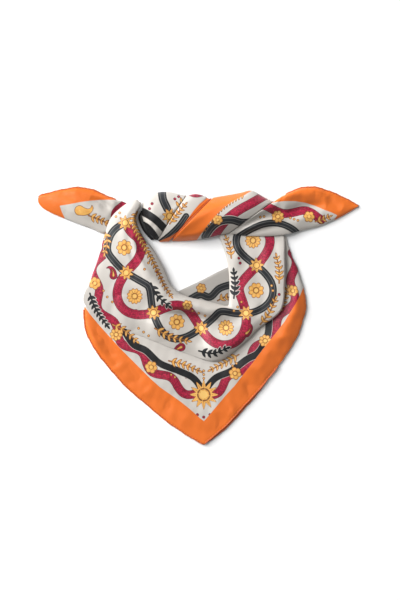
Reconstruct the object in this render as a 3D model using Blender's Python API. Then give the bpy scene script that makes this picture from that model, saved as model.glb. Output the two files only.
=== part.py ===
"""Silk square scarf, folded corner to corner, tied round as at a neck and laid flat on the floor.

Frame: metres, +Z up, floor at z = 0, +Y towards the back band, -Y towards the point of the bib,
+X towards the right tail. The tables below are in millimetres and are scaled by MM.
"""
import math

import bpy
import numpy as np

MM = 0.001
FOOT_MIDDLE = (-0.495, 0.758, 0.0)   # middle of the footprint in the tables' own millimetres
GAP = 0.3            # clear space between two pieces that touch
WALL = 1.3           # one layer of cloth, as a wall that prints and collides
LEAST_WALL = 1.17    # where a fold's trough would thin it
TWO_LAYERS = 2.6     # a folded tail, both layers together
HEM_WIDE = 2.2       # rolled hem across
HEM_HIGH = 1.7       # rolled hem from top to underside
HEM_SIDES = 8
TUCK = 6.5           # how far a lower piece runs in under the upper one
LIFT_WIDE = 11.0     # width of the raised underside over a lower piece
UNDER_STEP = 16.0    # width over which the underside then comes back down to the floor
ROUND_TOP = 5.0      # how far in from an edge the top starts to turn down
ROUND_UNDER = 1.2
ROUND_END = 3.0
ACROSS = (0.0, 0.10, 0.24, 0.42, 0.62, 0.84, 1.0)   # where the heights h0..h6 are, from edge a to edge b

IVORY = (0.70, 0.655, 0.60)
SHADED_IVORY = (0.52, 0.485, 0.45)
ORANGE = (0.93, 0.235, 0.04)
DEEP_ORANGE = (0.80, 0.17, 0.03)
SILK_ROUGHNESS = 0.42

# Outline columns: a x, a y, b x, b y. a is the inner edge, b the outer one. Rows run clockwise
# from the shoulder flap, down the left side, round the front and up the right side.
COLLAR_OUTLINE = (
    (-96, 184, -100, 186),
    (-92, 176, -113, 181),
    (-100, 155, -139, 158),
    (-91, 131, -151, 126),
    (-72, 105, -160, 94),
    (-56, 76, -172, 60),
    (-45, 51, -181, 20),
    (-30, 36, -139, -13),
    (-12, 29, -80, -37),
    (7, 25, -20, -60),
    (26, 20, 32, -72),
    (44, 16, 76, -40),
    (48, 20, 95, -21),
    (49, 41, 132, 9),
    (48, 68, 138, 57),
    (43, 97, 138, 99),
    (36, 117, 137.5, 120),
    (30, 133.5, 134, 136.5),
)
# Form columns: outline row, heights h0..h6 across, wall, underside at a, underside at b.
COLLAR_FORM = (
    (0, 11, 12, 12, 12, 12, 11, 10, 40, 0, 5),
    (1, 10, 13, 14, 14, 13, 11, 8, 40, 0, 5),
    (2, 9, 13, 15, 16, 14, 11, 8, 40, 0, 5),
    (3, 8, 13, 16, 17, 14, 10, 7, 40, 0, 5),
    (4, 8, 13, 17, 17, 13, 9, 5, 40, 0, 0),
    (5, 8, 14, 17, 15, 12, 9, 5, 40, 0, 0),
    (5.5, 8, 15, 17, 13.5, 11, 8.5, 5.5, 40, 0, 1.5),
    (6, 8, 16, 17, 12, 10, 8, 5.4, 40, 1, 3.6),
    (7, 9, 18, 15, 10, 9, 7.5, 5.4, 40, 3.4, 3.6),
    (8, 9, 19, 15, 9, 11, 9, 6, 40, 3.4, 3.6),
    (9, 9, 19, 14, 9, 12.5, 12, 7.5, 40, 3.4, 3.6),
    (10, 9, 18, 13, 9, 13.5, 14, 8.5, 40, 3.4, 3.6),
    (11, 9, 14, 12, 10, 12.5, 13, 8.5, 40, 3.4, 3.6),
    (12, 8, 11, 12, 11, 12, 12.5, 8.5, 40, 3.4, 3.6),
    (13, 7, 9, 11, 11, 11, 12, 9, 40, 3.4, 3.6),
    (14, 6.5, 9, 10.5, 9.5, 10, 11.5, 9, 40, 3.4, 3.6),
    (15, 6.5, 9, 10, 8.5, 9.5, 10.5, 8.5, 40, 0, 3.6),
    (16, 6.2, 7, 7, 6.4, 6.8, 7.2, 6.4, 40, 0, 3.6),
    (17, 5.0, 5.0, 5.0, 5.0, 5.0, 5.0, 5.0, 40, 0, 3.6),
)
# Fold columns: start x y, middle x y, end x y, height, spread on its left, spread on its right.
COLLAR_FOLDS = (
    (-62, 9, -18, 6, 38, -10, 3.2, 9, 3.0),      # lower fold of the neck roll
    (-104, 176, -100, 145, -84, 110, 2.6, 7, 10),  # ridge down from the flap
    (-84, 110, -72, 70, -50, 30, 2.0, 9, 12),
    (70, 130, 74, 90, 66, 45, -1.6, 8, 8),       # soft upright troughs of the right panel
    (104, 126, 108, 90, 100, 50, 1.4, 7, 9),
)

# Row 7 is the point of the bib. Rows 0 to 7 are its left hem, 8 to 11 its right hem,
# and past row 11 the outer edge is a soft fold.
BIB_OUTLINE = (
    (-177, 11, -184, 3),
    (-163, -2, -183, -16),
    (-139, -13, -174, -42),
    (-110, -24, -153, -73),
    (-80, -37, -120, -111),
    (-49, -49, -78, -148),
    (-20, -60, -33, -183),
    (7, -68, 8, -207),
    (32, -72, 42, -178),
    (55, -60, 77, -141),
    (76, -40, 108, -106),
    (95, -21, 135, -71),
    (114, -5, 157, -34),
    (132, 9, 168, -4),
    (136, 28, 172, 20),
    (138, 57, 166, 49),
    (138, 80, 158, 75),
    (138, 99, 149, 96),
    (138, 115, 143, 113),
    (136, 128, 140, 126),
)
BIB_POINT = 7
BIB_HEM_END = 11
BIB_FORM = (
    (0, 2.9, 2.9, 2.9, 2.9, 2.9, 2.6, 2.0, WALL, 1.6, 0.2),
    (2, 2.9, 3.0, 3.6, 4.4, 4.6, 3.4, 1.9, WALL, 1.6, 0.2),
    (4, 2.9, 3.0, 3.8, 5.2, 5.0, 3.2, 1.9, WALL, 1.6, 0.2),
    (5, 2.9, 3.0, 4.0, 5.2, 4.8, 3.2, 1.9, WALL, 1.6, 0.2),
    (6, 2.9, 3.0, 4.2, 5.0, 4.4, 3.6, 3.0, WALL, 1.6, 1.6),
    (8, 2.9, 3.0, 4.4, 5.2, 4.6, 4.0, 3.4, WALL, 1.6, 2.0),
    (10, 2.9, 3.0, 4.2, 5.8, 6.0, 5.0, 3.6, WALL, 1.6, 2.0),
    (11, 2.9, 3.0, 4.2, 6.0, 6.6, 6.0, 3.8, WALL, 1.6, 1.6),
    (12, 2.9, 3.0, 4.4, 6.0, 7.0, 6.6, 4.4, WALL, 1.6, 0.4),
    (14, 2.9, 3.0, 4.6, 6.4, 7.6, 7.0, 4.8, 1.6, 1.6, 0.3),
    (16, 2.9, 2.9, 3.0, 3.6, 5.0, 5.0, 4.0, 2.0, 1.6, 0.3),
    (17, 2.9, 2.9, 2.9, 3.0, 3.4, 3.8, 3.4, 2.2, 1.6, 0.3),
    (18, 2.9, 2.9, 2.9, 2.9, 2.9, 3.0, 3.0, 2.2, 1.6, 0.3),
    (19, 2.9, 2.9, 2.9, 2.9, 2.9, 2.9, 2.8, 2.2, 1.6, 0.3),
)
BACK_FORM = (
    (0, 1.3, 1.3, 1.3, 1.3, 1.3, 1.3, 1.3, WALL, 0, 0),
    (19, 1.3, 1.3, 1.3, 1.3, 1.3, 1.3, 1.3, WALL, 0, 0),
)
BIB_FOLDS = (
    (-150, -24, -140, -52, -132, -88, -1.2, 8, 12),   # dimple across the left border
    (60, -86, 76, -104, 100, -122, -1.6, 9, 9),       # dimple across the right border
    (-60, -70, -40, -110, 0, -150, 1.0, 14, 20),
    (96, -60, 112, -50, 140, -52, -1.0, 8, 8),
)
# Inset columns: outline row, how far inside the outline the back layer ends.
BACK_INSET = (
    (0, 28),
    (5, 27),
    (6, 12),
    (7, 1.4),
    (8, 0.2),
    (9, 0.7),
    (10, 0.4),
    (11, 4),
    (12, 27),
    (13, 28),
)
BACK_LAST = 13
BACK_OUT = 1.6       # how far the back layer's hem shows past the front one
BIB_BED = 1.6        # top of the back layer and a gap

NAPE_OUTLINE = (
    (-37, 37, -33, 39),
    (-13, 20, -14, 48),
    (7, 14, 7, 58),
    (36, 12, 28, 69),
    (55, 14, 55, 81.5),
)
NAPE_FORM = (
    (0, 1.6, 1.6, 1.6, 1.6, 1.6, 1.6, 1.6, 1.5, 0, 0),
    (2, 2.8, 2.8, 2.8, 3.2, 3.0, 2.4, 1.9, 1.5, 0, 0),
    (4, 2.4, 2.4, 2.4, 2.4, 2.4, 2.2, 1.9, 1.5, 0, 0),
)

TUCK_OUTLINE = (
    (-92.4, 168, -88, 167),
    (-96.5, 156, -82, 153),
    (-90, 138, -76, 141),
    (-82, 127, -70, 130),
    (-76, 121, -66, 123),
)
TUCK_FORM = (
    (0, 3.0, 3.4, 3.8, 4.0, 3.8, 3.6, 3.4, 20, 0, 0),
    (2, 3.4, 4.2, 4.6, 4.8, 4.8, 4.4, 4.0, 20, 0, 0),
    (4, 2.4, 2.6, 2.8, 3.0, 2.8, 2.6, 2.4, 20, 0, 0),
)

PUFF_OUTLINE = (
    (-91, 160, -89.4, 180),
    (-87, 148, -82, 188.4),
    (-81, 136, -70, 196),
    (-73, 124, -49, 198),
    (-66, 120.6, -20, 192),
)
PUFF_FORM = (
    (0, 10, 13, 15, 16, 15, 13, 8, 40, 5.4, 0),
    (1, 10, 15, 19, 20, 19, 15, 6, 40, 5.4, 0),
    (2, 10, 17, 22, 24, 23, 16, 5, 40, 5.4, 0),
    (3, 9, 16, 22, 25, 24, 16, 5, 40, 5.4, 0),
    (4, 5, 11, 17, 21, 22, 16, 5, 40, 3.4, 0),
)
PUFF_FOLDS = (
    (-82, 132, -60, 152, -22, 172, -1.8, 4, 9),
    (-66, 182, -52, 176, -36, 174, -1.2, 6, 6),
)

TURN_OUTLINE = (
    (-65.5, 120.2, -19.5, 191.6),
    (-63.0, 118.4, -4.0, 194.6),
    (-59.5, 118.2, 11.0, 190.4),
    (-53.0, 118.4, 13.6, 188.2),
    (-47.4, 118.9, 17.6, 187.2),
)
TURN_FORM = (
    (0, 4, 10, 16, 21, 23, 17, 5, 40, 0, 0),
    (2, 4, 11, 18, 23, 24, 17, 5, 40, 0, 0),
    (4, 4, 11, 18, 23.5, 23.5, 16.5, 5, 40, 0, 0),
)

WRAP_OUTLINE = (
    (-43, 119.2, 23.4, 189.0),
    (-24, 119.4, 44, 192.4),
    (-4, 121, 66, 196.4),
    (18, 125, 85, 200),
    (36, 129.6, 104, 189.6),
    (48, 131.6, 119, 182.6),
)
WRAP_FORM = (
    (0, 4, 13, 21, 26, 26, 18, 5, 40, 0, 0),
    (1, 4, 15, 22, 27, 27, 19, 5, 40, 0, 0),
    (2, 5, 16, 23, 27, 27, 19, 6, 40, 0, 0),
    (3, 8, 15, 22, 25, 25, 18, 8, 40, 5.6, 0),
    (4, 9.5, 15, 21, 24, 23, 16, 8, 40, 6.5, 0),
    (5, 10, 14, 18, 21, 20, 14, 7, 40, 6.5, 0),
)
WRAP_FOLDS = (
    (-30, 128, 8, 152, 60, 190, -1.6, 5, 8),
    (22, 134, 52, 156, 96, 186, 1.4, 8, 6),
)

RIGHT_TAIL_OUTLINE = (
    (48.5, 131.1, 119.5, 182.1),
    (79, 127.6, 133, 191),
    (111, 126.8, 149, 200),
    (140, 130, 167, 206),
    (165, 136, 186, 206.6),
    (191, 142, 207, 201),
    (215, 152, 226, 193),
    (236, 163, 242, 185),
    (254, 174, 257, 177),
)
RIGHT_TAIL_FORM = (
    (0, 8.8, 12, 15, 17, 17, 12, 6, 40, 6.5, 0),
    (1, 9.2, 13, 15, 15.5, 14, 9.5, 4.8, 26, 6.5, 0),
    (2, 9.2, 12, 13, 12, 11, 8, 4.2, 14, 6.5, 0),
    (3, 8.6, 9.6, 9.8, 9.2, 8.6, 6.5, 3.8, 7, 6.3, 0),
    (4, 4.6, 7, 7.5, 7.5, 7.5, 5.8, 3.4, 4.5, 1.0, 0),
    (5, 3.4, 5.4, 6.5, 6.8, 6.6, 5.2, 3.2, 3.2, 0, 0),
    (6, 3.0, 4.6, 5.6, 6.0, 5.6, 4.4, 3.0, TWO_LAYERS, 0, 0),
    (7, 2.7, 3.4, 4.0, 4.2, 4.0, 3.2, 2.7, TWO_LAYERS, 0, 0),
    (8, 2.4, 2.4, 2.5, 2.6, 2.5, 2.4, 2.4, 2.4, 0, 0),
)
RIGHT_TAIL_FOLDS = (
    (84, 150, 126, 166, 166, 176, -2.6, 7, 8),     # dark valley along the tail
    (96, 140, 130, 150, 176, 160, 1.6, 6, 8),
    (164, 182, 172, 190, 178, 202, -1.8, 6, 7),    # dimple in the border
)

LEFT_TAIL_OUTLINE = (
    (-143, 136, -110, 177),
    (-154, 132, -123, 183.5),
    (-171, 139, -145, 192),
    (-193, 147, -171, 203),
    (-216, 156, -193, 206),
    (-235, 164, -216, 203),
    (-249, 172, -236, 198),
    (-256, 180, -252, 194),
    (-257, 187, -257, 190),
)
LEFT_TAIL_FORM = (
    (0, 3.6, 4.0, 4.2, 4.2, 4.2, 4.0, 3.6, 4.2, 0, 0),
    (1, 3.4, 4.0, 4.3, 4.4, 4.3, 4.0, 3.4, 3.6, 0, 0),
    (2, 3.0, 4.4, 5.6, 6.2, 6.0, 4.8, 3.2, TWO_LAYERS, 0, 0),
    (3, 2.8, 4.6, 6.4, 7.4, 7.2, 5.6, 3.0, TWO_LAYERS, 0, 0),
    (4, 2.8, 4.2, 5.8, 6.8, 6.8, 5.4, 3.0, TWO_LAYERS, 0, 0),
    (5, 2.8, 3.8, 4.8, 5.6, 5.8, 4.6, 2.9, TWO_LAYERS, 0, 0),
    (6, 2.7, 3.2, 3.8, 4.2, 4.2, 3.6, 2.8, TWO_LAYERS, 0, 0),
    (7, 2.6, 2.8, 3.0, 3.2, 3.2, 3.0, 2.6, TWO_LAYERS, 0, 0),
    (8, 2.5, 2.5, 2.6, 2.6, 2.6, 2.5, 2.5, 2.5, 0, 0),
)
LEFT_TAIL_FOLDS = (
    (-158, 180, -148, 172, -136, 162, -1.4, 4, 6),
    (-232, 184, -205, 176, -172, 166, 0.9, 8, 10),
)

# Node, outline, form, folds, points across, steps between rows, height kept at both ends, colour.
PIECES = (
    ("collar_fold", COLLAR_OUTLINE, COLLAR_FORM, COLLAR_FOLDS, 22, 3, (0.5, 0.97), IVORY),
    ("nape_panel", NAPE_OUTLINE, NAPE_FORM, (), 10, 2, (0.9, 0.9), SHADED_IVORY),
    ("tuck_fold", TUCK_OUTLINE, TUCK_FORM, (), 8, 2, (0.8, 0.8), SHADED_IVORY),
    ("back_puff", PUFF_OUTLINE, PUFF_FORM, PUFF_FOLDS, 16, 4, (0.6, 0.93), IVORY),
    ("back_turn", TURN_OUTLINE, TURN_FORM, (), 16, 2, (0.93, 0.97), IVORY),
    ("back_wrap", WRAP_OUTLINE, WRAP_FORM, WRAP_FOLDS, 16, 4, (0.97, 0.9), ORANGE),
    ("right_tail", RIGHT_TAIL_OUTLINE, RIGHT_TAIL_FORM, RIGHT_TAIL_FOLDS, 14, 3, (0.95, 0.7), ORANGE),
    ("left_tail", LEFT_TAIL_OUTLINE, LEFT_TAIL_FORM, LEFT_TAIL_FOLDS, 12, 3, (0.9, 0.7), ORANGE),
)
# Where a rolled hem runs along edge b, the cloth stops short of it. Columns: outline row, distance.
TAIL_INSET = ((0, 0), (1.0, 0), (1.4, 2.7), (7, 2.7), (7.5, 2.7), (8, 1.4))
BIB_INSET = ((0, 2.6), (10.7, 2.6), (11.4, 0), (19, 0))
HEM_MIDDLE = 1.0     # height of a hem's middle over what it lies on


def clear_scene():
    for thing in list(bpy.data.objects):
        bpy.data.objects.remove(thing, do_unlink=True)


def through(at, rows, places):
    """Smooth values at the places asked for, passing through rows that sit at the places in at."""
    at = np.asarray(at, float)
    rows = np.asarray(rows, float)
    places = np.asarray(places, float)
    slope = np.gradient(rows, at, axis=0)
    low = np.clip(np.searchsorted(at, places, side="right") - 1, 0, len(at) - 2)
    width = at[low + 1] - at[low]
    t = (places - at[low]) / width
    if rows.ndim == 2:
        width = width[:, None]
        t = t[:, None]
    start = 2 * t**3 - 3 * t**2 + 1
    start_slope = t**3 - 2 * t**2 + t
    end_slope = t**3 - t**2
    return (
        start * rows[low]
        + start_slope * width * slope[low]
        + (1 - start) * rows[low + 1]
        + end_slope * width * slope[low + 1]
    )


def outline_at(outline, stations, corners):
    """The outline's edge points at each station, with a sharp turn at every corner row."""
    outline = np.asarray(outline, float)
    cuts = [0, *corners, len(outline) - 1]
    found = np.zeros((len(stations), outline.shape[1]))
    for first, last in zip(cuts, cuts[1:]):
        inside = (stations >= first) & (stations <= last)
        rows = outline[first : last + 1]
        found[inside] = through(np.arange(first, last + 1), rows, stations[inside])
    return found


def fold_height(folds, x, y):
    """Soft ridges, and troughs where the height is less than 0, each along a bent line."""
    total = np.zeros_like(x)
    for x0, y0, x1, y1, x2, y2, height, left, right in folds:
        best = np.full(x.shape, np.inf)
        lift = np.zeros_like(x)
        for ax, ay, bx, by, before, after in (
            (x0, y0, x1, y1, 0.0, 0.5),
            (x1, y1, x2, y2, 0.5, 1.0),
        ):
            length = math.hypot(bx - ax, by - ay)
            ux = (bx - ax) / length
            uy = (by - ay) / length
            run = np.clip(((x - ax) * ux + (y - ay) * uy) / length, 0, 1)
            away_x = x - ax - run * length * ux
            away_y = y - ay - run * length * uy
            away = np.hypot(away_x, away_y)
            on_left = ux * (y - ay) - uy * (x - ax) > 0
            spread = np.where(on_left, left, right)
            along = before + run * (after - before)
            fade = np.sin(math.pi * np.clip(along, 0.02, 0.98)) ** 0.7
            here = height * fade * np.exp(-((away / spread) ** 2))
            nearer = away < best
            lift = np.where(nearer, here, lift)
            best = np.minimum(best, away)
        total += lift
    return total


def turn_down(distance, radius):
    """0 at an edge, rising as a quarter circle to 1 one radius in from it."""
    return np.sqrt(1 - (1 - np.clip(distance / radius, 0, 1)) ** 2)


def sections(outline, form, folds, across, steps, end_keeps, corners=(), tuck=0.0, inset=None, bed=0.0):
    """Upper and lower points of a piece, each as an array of station, place across, and x y z.

    end_keeps is the part of the height kept at the first and the last row, tuck runs edge a in under
    the piece above, inset moves edge b in, and bed is the height of what lies below the middle.
    """
    form = np.asarray(form, float)
    count = (len(outline) - 1) * steps + 1
    stations = np.linspace(0, len(outline) - 1, count)
    edges = outline_at(outline, stations, corners)
    a = edges[:, 0:2].copy()
    b = edges[:, 2:4].copy()
    way = b - a
    way /= np.linalg.norm(way, axis=1)[:, None]
    a -= way * tuck
    if inset is not None:
        b -= way * np.interp(stations, inset[0], inset[1])[:, None]
    length = np.linalg.norm(b - a, axis=1)
    form_at = through(form[:, 0], form[:, 1:], stations)
    s = 0.5 * (1 - np.cos(math.pi * np.linspace(0, 1, across + 1)))
    middle = (a + b) / 2
    steps_along = np.linalg.norm(np.diff(middle, axis=0), axis=1)
    run = np.concatenate([[0], np.cumsum(steps_along)])
    ends = np.minimum(run, run[-1] - run)
    keeps = np.where(run < run[-1] / 2, end_keeps[0], end_keeps[1])
    upper = np.zeros((count, across + 1, 3))
    lower = np.zeros((count, across + 1, 3))
    for i in range(count):
        xy = a[i] + s[:, None] * (b[i] - a[i])
        heights, wall, under_a, under_b = form_at[i, 0:7], form_at[i, 7], form_at[i, 8], form_at[i, 9]
        top = through(ACROSS, heights, s) + fold_height(folds, xy[:, 0], xy[:, 1])
        from_a = s * length[i]
        from_b = (1 - s) * length[i]
        rise_a = np.clip(1 - (from_a - LIFT_WIDE) / UNDER_STEP, 0, 1)
        rise_b = np.clip(1 - (from_b - LIFT_WIDE) / UNDER_STEP, 0, 1)
        floor = bed + (under_a - bed) * rise_a + (under_b - bed) * rise_b
        floor = np.maximum(floor, 0)
        top = np.maximum(top, floor + LEAST_WALL)
        below = np.maximum(floor, top - wall)
        thin = min(wall, TWO_LAYERS) / 2
        centre = np.where(from_a < from_b, under_a + thin, under_b + thin)
        centre = np.clip(centre, below, top)
        near = np.minimum(from_a, from_b)
        end = keeps[i] + (1 - keeps[i]) * turn_down(ends[i], ROUND_END)
        keep = turn_down(near, min(ROUND_TOP, length[i] / 3)) * end
        keep_under = turn_down(near, min(ROUND_UNDER, length[i] / 6)) * end
        upper[i, :, 0:2] = xy
        lower[i, :, 0:2] = xy
        upper[i, :, 2] = centre + (top - centre) * keep
        lower[i, :, 2] = centre - (centre - below) * keep_under
    return upper, lower


def material(name, colour):
    found = bpy.data.materials.new(name)
    found.use_nodes = True
    shader = found.node_tree.nodes["Principled BSDF"]
    shader.inputs["Base Color"].default_value = (*colour, 1)
    shader.inputs["Roughness"].default_value = SILK_ROUGHNESS
    shader.inputs["Metallic"].default_value = 0.0
    return found


def add_solid(name, points, faces, colour):
    """One closed body from points in millimetres, turned so that its faces look outwards."""
    points = np.asarray(points, float)
    volume = 0.0
    for face in faces:
        first = points[face[0]]
        for k in range(1, len(face) - 1):
            volume += np.dot(first, np.cross(points[face[k]], points[face[k + 1]]))
    if volume < 0:
        faces = [tuple(reversed(face)) for face in faces]
    mesh = bpy.data.meshes.new(name)
    mesh.from_pydata(((points - FOOT_MIDDLE) * MM).tolist(), [], faces)
    mesh.materials.append(material(name + "_cloth", colour))
    mesh.update()
    made = bpy.data.objects.new(name, mesh)
    bpy.context.scene.collection.objects.link(made)
    return made


def add_piece(name, upper, lower, colour):
    """Rings round each station, joined up, with both ends closed across."""
    count, across = upper.shape[0], upper.shape[1] - 1
    points = []
    for i in range(count):
        points.extend(upper[i])
        points.extend(lower[i, across - 1 : 0 : -1])
    ring = 2 * across
    faces = []
    for i in range(count - 1):
        for k in range(ring):
            after = (k + 1) % ring
            faces.append((i * ring + k, i * ring + after, (i + 1) * ring + after, (i + 1) * ring + k))
    for i, turned in ((0, True), (count - 1, False)):
        for j in range(across):
            corner = [i * ring + j, i * ring + j + 1]
            if j + 1 < across:
                corner.append(i * ring + ring - j - 1)
            if j > 0:
                corner.append(i * ring + ring - j)
            faces.append(tuple(reversed(corner)) if turned else tuple(corner))
    return add_solid(name, points, faces, colour)


def add_hem(name, path, colour):
    """A rolled hem, an oval cord along a path, with its ends a little smaller."""
    path = np.asarray(path, float)
    points = []
    for i, place in enumerate(path):
        ahead = path[min(i + 1, len(path) - 1)] - path[max(i - 1, 0)]
        side = np.array([ahead[1], -ahead[0], 0.0])
        side /= np.linalg.norm(side)
        size = 0.6 if i in (0, len(path) - 1) else 1.0
        for k in range(HEM_SIDES):
            angle = 2 * math.pi * k / HEM_SIDES
            out = side * (HEM_WIDE / 2 * math.cos(angle) * size)
            points.append(place + out + np.array([0, 0, HEM_HIGH / 2 * math.sin(angle) * size]))
    faces = []
    for i in range(len(path) - 1):
        for k in range(HEM_SIDES):
            after = (k + 1) % HEM_SIDES
            low = i * HEM_SIDES
            faces.append((low + k, low + after, low + HEM_SIDES + after, low + HEM_SIDES + k))
    faces.append(tuple(range(HEM_SIDES - 1, -1, -1)))
    last = (len(path) - 1) * HEM_SIDES
    faces.append(tuple(range(last, last + HEM_SIDES)))
    return add_solid(name, points, faces, colour)


def edge_path(outline, form, first, last, spacing, corners, inward, lift):
    """A path along edge b between two outline rows, moved in, at a height over its underside."""
    stations = np.arange(first, last + spacing / 2, spacing)
    edges = outline_at(outline, stations, corners)
    way = edges[:, 2:4] - edges[:, 0:2]
    way /= np.linalg.norm(way, axis=1)[:, None]
    form = np.asarray(form, float)
    under = through(form[:, 0], form[:, 10], stations)
    return np.column_stack([edges[:, 2:4] - way * inward, under + lift])


def inset_of(table):
    table = np.asarray(table, float)
    return table[:, 0], table[:, 1]


def build():
    clear_scene()
    wrap_upper = None
    for name, outline, form, folds, across, steps, keeps, colour in PIECES:
        inset = inset_of(TAIL_INSET) if name.endswith("_tail") else None
        upper, lower = sections(outline, form, folds, across, steps, keeps, inset=inset)
        add_piece(name, upper, lower, colour)
        if name == "back_wrap":
            wrap_upper = upper

    upper, lower = sections(
        BIB_OUTLINE, BIB_FORM, BIB_FOLDS, 14, 3, (0.8, 0.9), (BIB_POINT,), TUCK, inset_of(BIB_INSET), BIB_BED
    )
    add_piece("bib_front", upper, lower, ORANGE)
    upper, lower = sections(
        BIB_OUTLINE[: BACK_LAST + 1],
        BACK_FORM,
        (),
        6,
        3,
        (0.9, 0.9),
        (BIB_POINT,),
        TUCK,
        inset_of(BACK_INSET),
    )
    add_piece("bib_back", upper, lower, DEEP_ORANGE)

    half = HEM_WIDE / 2
    point = (BIB_POINT,)
    left = edge_path(BIB_OUTLINE, BIB_FORM, 0.1, 6.9, 0.2, point, half, HEM_MIDDLE)
    add_hem("hem_bib_left", left, ORANGE)
    right = edge_path(BIB_OUTLINE, BIB_FORM, 7.1, 10.7, 0.2, point, half, HEM_MIDDLE)
    add_hem("hem_bib_right", right, ORANGE)
    back = edge_path(BIB_OUTLINE, BACK_FORM, 7.2, 10.5, 0.2, point, -BACK_OUT, HEM_MIDDLE)
    add_hem("hem_back_right", back, DEEP_ORANGE)
    right_tail = edge_path(RIGHT_TAIL_OUTLINE, RIGHT_TAIL_FORM, 1.6, 7.3, 0.25, (), half, HEM_MIDDLE)
    add_hem("hem_right_tail", right_tail, ORANGE)
    left_tail = edge_path(LEFT_TAIL_OUTLINE, LEFT_TAIL_FORM, 1.5, 7.3, 0.25, (), half, HEM_MIDDLE)
    add_hem("hem_left_tail", left_tail, ORANGE)

    first_row, second_row = wrap_upper[0], wrap_upper[1]
    across_row = first_row[-1, 0:2] - first_row[0, 0:2]
    back_way = np.array([-across_row[1], across_row[0]]) / np.linalg.norm(across_row)
    lip = second_row[3:-2].copy()
    lip[:, 0:2] = first_row[3:-2, 0:2] + back_way * (GAP + half)
    lip[:, 2] -= HEM_HIGH * 0.7
    add_hem("hem_back_wrap", lip, DEEP_ORANGE)


build()
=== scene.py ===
import math

import bpy
import numpy as np
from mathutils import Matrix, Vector


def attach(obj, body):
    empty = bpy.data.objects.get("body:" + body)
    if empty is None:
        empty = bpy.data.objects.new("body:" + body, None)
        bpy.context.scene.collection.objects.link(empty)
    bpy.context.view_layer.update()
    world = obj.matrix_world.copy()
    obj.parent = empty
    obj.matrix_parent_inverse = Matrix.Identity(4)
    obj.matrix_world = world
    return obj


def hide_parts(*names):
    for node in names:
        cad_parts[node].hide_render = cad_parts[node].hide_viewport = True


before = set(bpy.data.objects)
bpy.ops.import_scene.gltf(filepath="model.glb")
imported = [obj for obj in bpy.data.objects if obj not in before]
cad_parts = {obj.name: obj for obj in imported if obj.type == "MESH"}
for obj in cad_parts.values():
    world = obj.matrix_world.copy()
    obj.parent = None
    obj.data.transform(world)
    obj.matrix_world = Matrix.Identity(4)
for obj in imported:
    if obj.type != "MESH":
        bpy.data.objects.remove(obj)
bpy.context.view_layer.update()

for thing in bpy.context.selected_objects:
    thing.select_set(False)

mm = 0.001
footMiddle = np.array([-0.495, 0.758, 0.0])   # the tables are in mm round their own middle
grain = 1.5            # mesh spacing of the cloth, mm
acrossAt = (0.0, 0.10, 0.24, 0.42, 0.62, 0.84, 1.0)   # where heights h0..h6 are, from edge a to edge b
shell = dict(
    leastWall=1.17,                 # thinnest layer
    twoLayers=2.6,                  # thickness of a folded edge
    liftWide=11.0, underStep=16.0,  # an edge keeps its lift this far in, then comes down to the bed
    underAcross=12,                 # strips across the underside
    trialSteps=12, leastStep=0.15, leastRows=8, leastAcross=10, acrossMore=1.15,
    evenShare=0.35,                 # the rest of the spacing bunches towards the edges
    endRound=3.0, topRound=5.0, underRound=1.2,
    topPart=3, underPart=6,         # a rounding takes no more than this part of a narrow strip
    rippleIn=12,                    # the edge is smoother than the middle
)
ridge = dict(steps=8, fadeFrom=0.02, fadePower=0.7)     # how a fold dies away at its ends
rippling = dict(waves=(62, 41, 29, 21, 15), bend=0.35, bendLength=0.8, bendTurn=2.2)
hemWander = ((4.7, 1.0, 1.0), (10.9, 0.6, 2.1), (22.3, 0.45, 0.4))      # rate, share and phase of each wave


# Form of the cloth: strips between an inner edge a and an outer edge b.

def through(at, rows, places):
    # smooth values that pass through the rows
    at = np.asarray(at, float)
    rows = np.asarray(rows, float)
    places = np.asarray(places, float)
    slope = np.gradient(rows, at, axis=0)
    low = np.clip(np.searchsorted(at, places, side="right") - 1, 0, len(at) - 2)
    width = at[low + 1] - at[low]
    t = (places - at[low]) / width
    if rows.ndim == 2:
        width = width[:, None]
        t = t[:, None]
    start = 2 * t**3 - 3 * t**2 + 1
    startSlope = t**3 - 2 * t**2 + t
    endSlope = t**3 - t**2
    return (start * rows[low] + startSlope * width * slope[low]
            + (1 - start) * rows[low + 1] + endSlope * width * slope[low + 1])


def runAlong(path):
    # how far along the path each of its points is
    return np.concatenate([[0], np.cumsum(np.linalg.norm(np.diff(path, axis=0), axis=1))])


def outlineAt(outline, stations, corners):
    outline = np.asarray(outline, float)
    cuts = [0, *corners, len(outline) - 1]
    found = np.zeros((len(stations), outline.shape[1]))
    for first, last in zip(cuts, cuts[1:]):
        inside = (stations >= first) & (stations <= last)
        found[inside] = through(np.arange(first, last + 1), outline[first:last + 1], stations[inside])
    return found


def foldHeight(folds, x, y):
    # soft ridges, and troughs where the height is below 0, each along a bent line
    total = np.zeros_like(x)
    for x0, y0, x1, y1, x2, y2, height, left, right in folds:
        best = np.full(x.shape, np.inf)
        lift = np.zeros_like(x)
        line = through((0, 1, 2), ((x0, y0), (x1, y1), (x2, y2)), np.linspace(0, 2, ridge["steps"] + 1))
        for step, ((ax, ay), (bx, by)) in enumerate(zip(line[:-1], line[1:])):
            length = math.hypot(bx - ax, by - ay)
            ux, uy = (bx - ax) / length, (by - ay) / length
            run = np.clip(((x - ax) * ux + (y - ay) * uy) / length, 0, 1)
            away = np.hypot(x - ax - run * length * ux, y - ay - run * length * uy)
            onLeft = ux * (y - ay) - uy * (x - ax) > 0
            along = np.clip((step + run) / ridge["steps"], ridge["fadeFrom"], 1 - ridge["fadeFrom"])
            fade = np.sin(math.pi * along) ** ridge["fadePower"]
            here = height * fade * np.exp(-((away / np.where(onLeft, left, right)) ** 2))
            nearer = away < best
            lift = np.where(nearer, here, lift)
            best = np.minimum(best, away)
        total += lift
    return total


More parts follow.
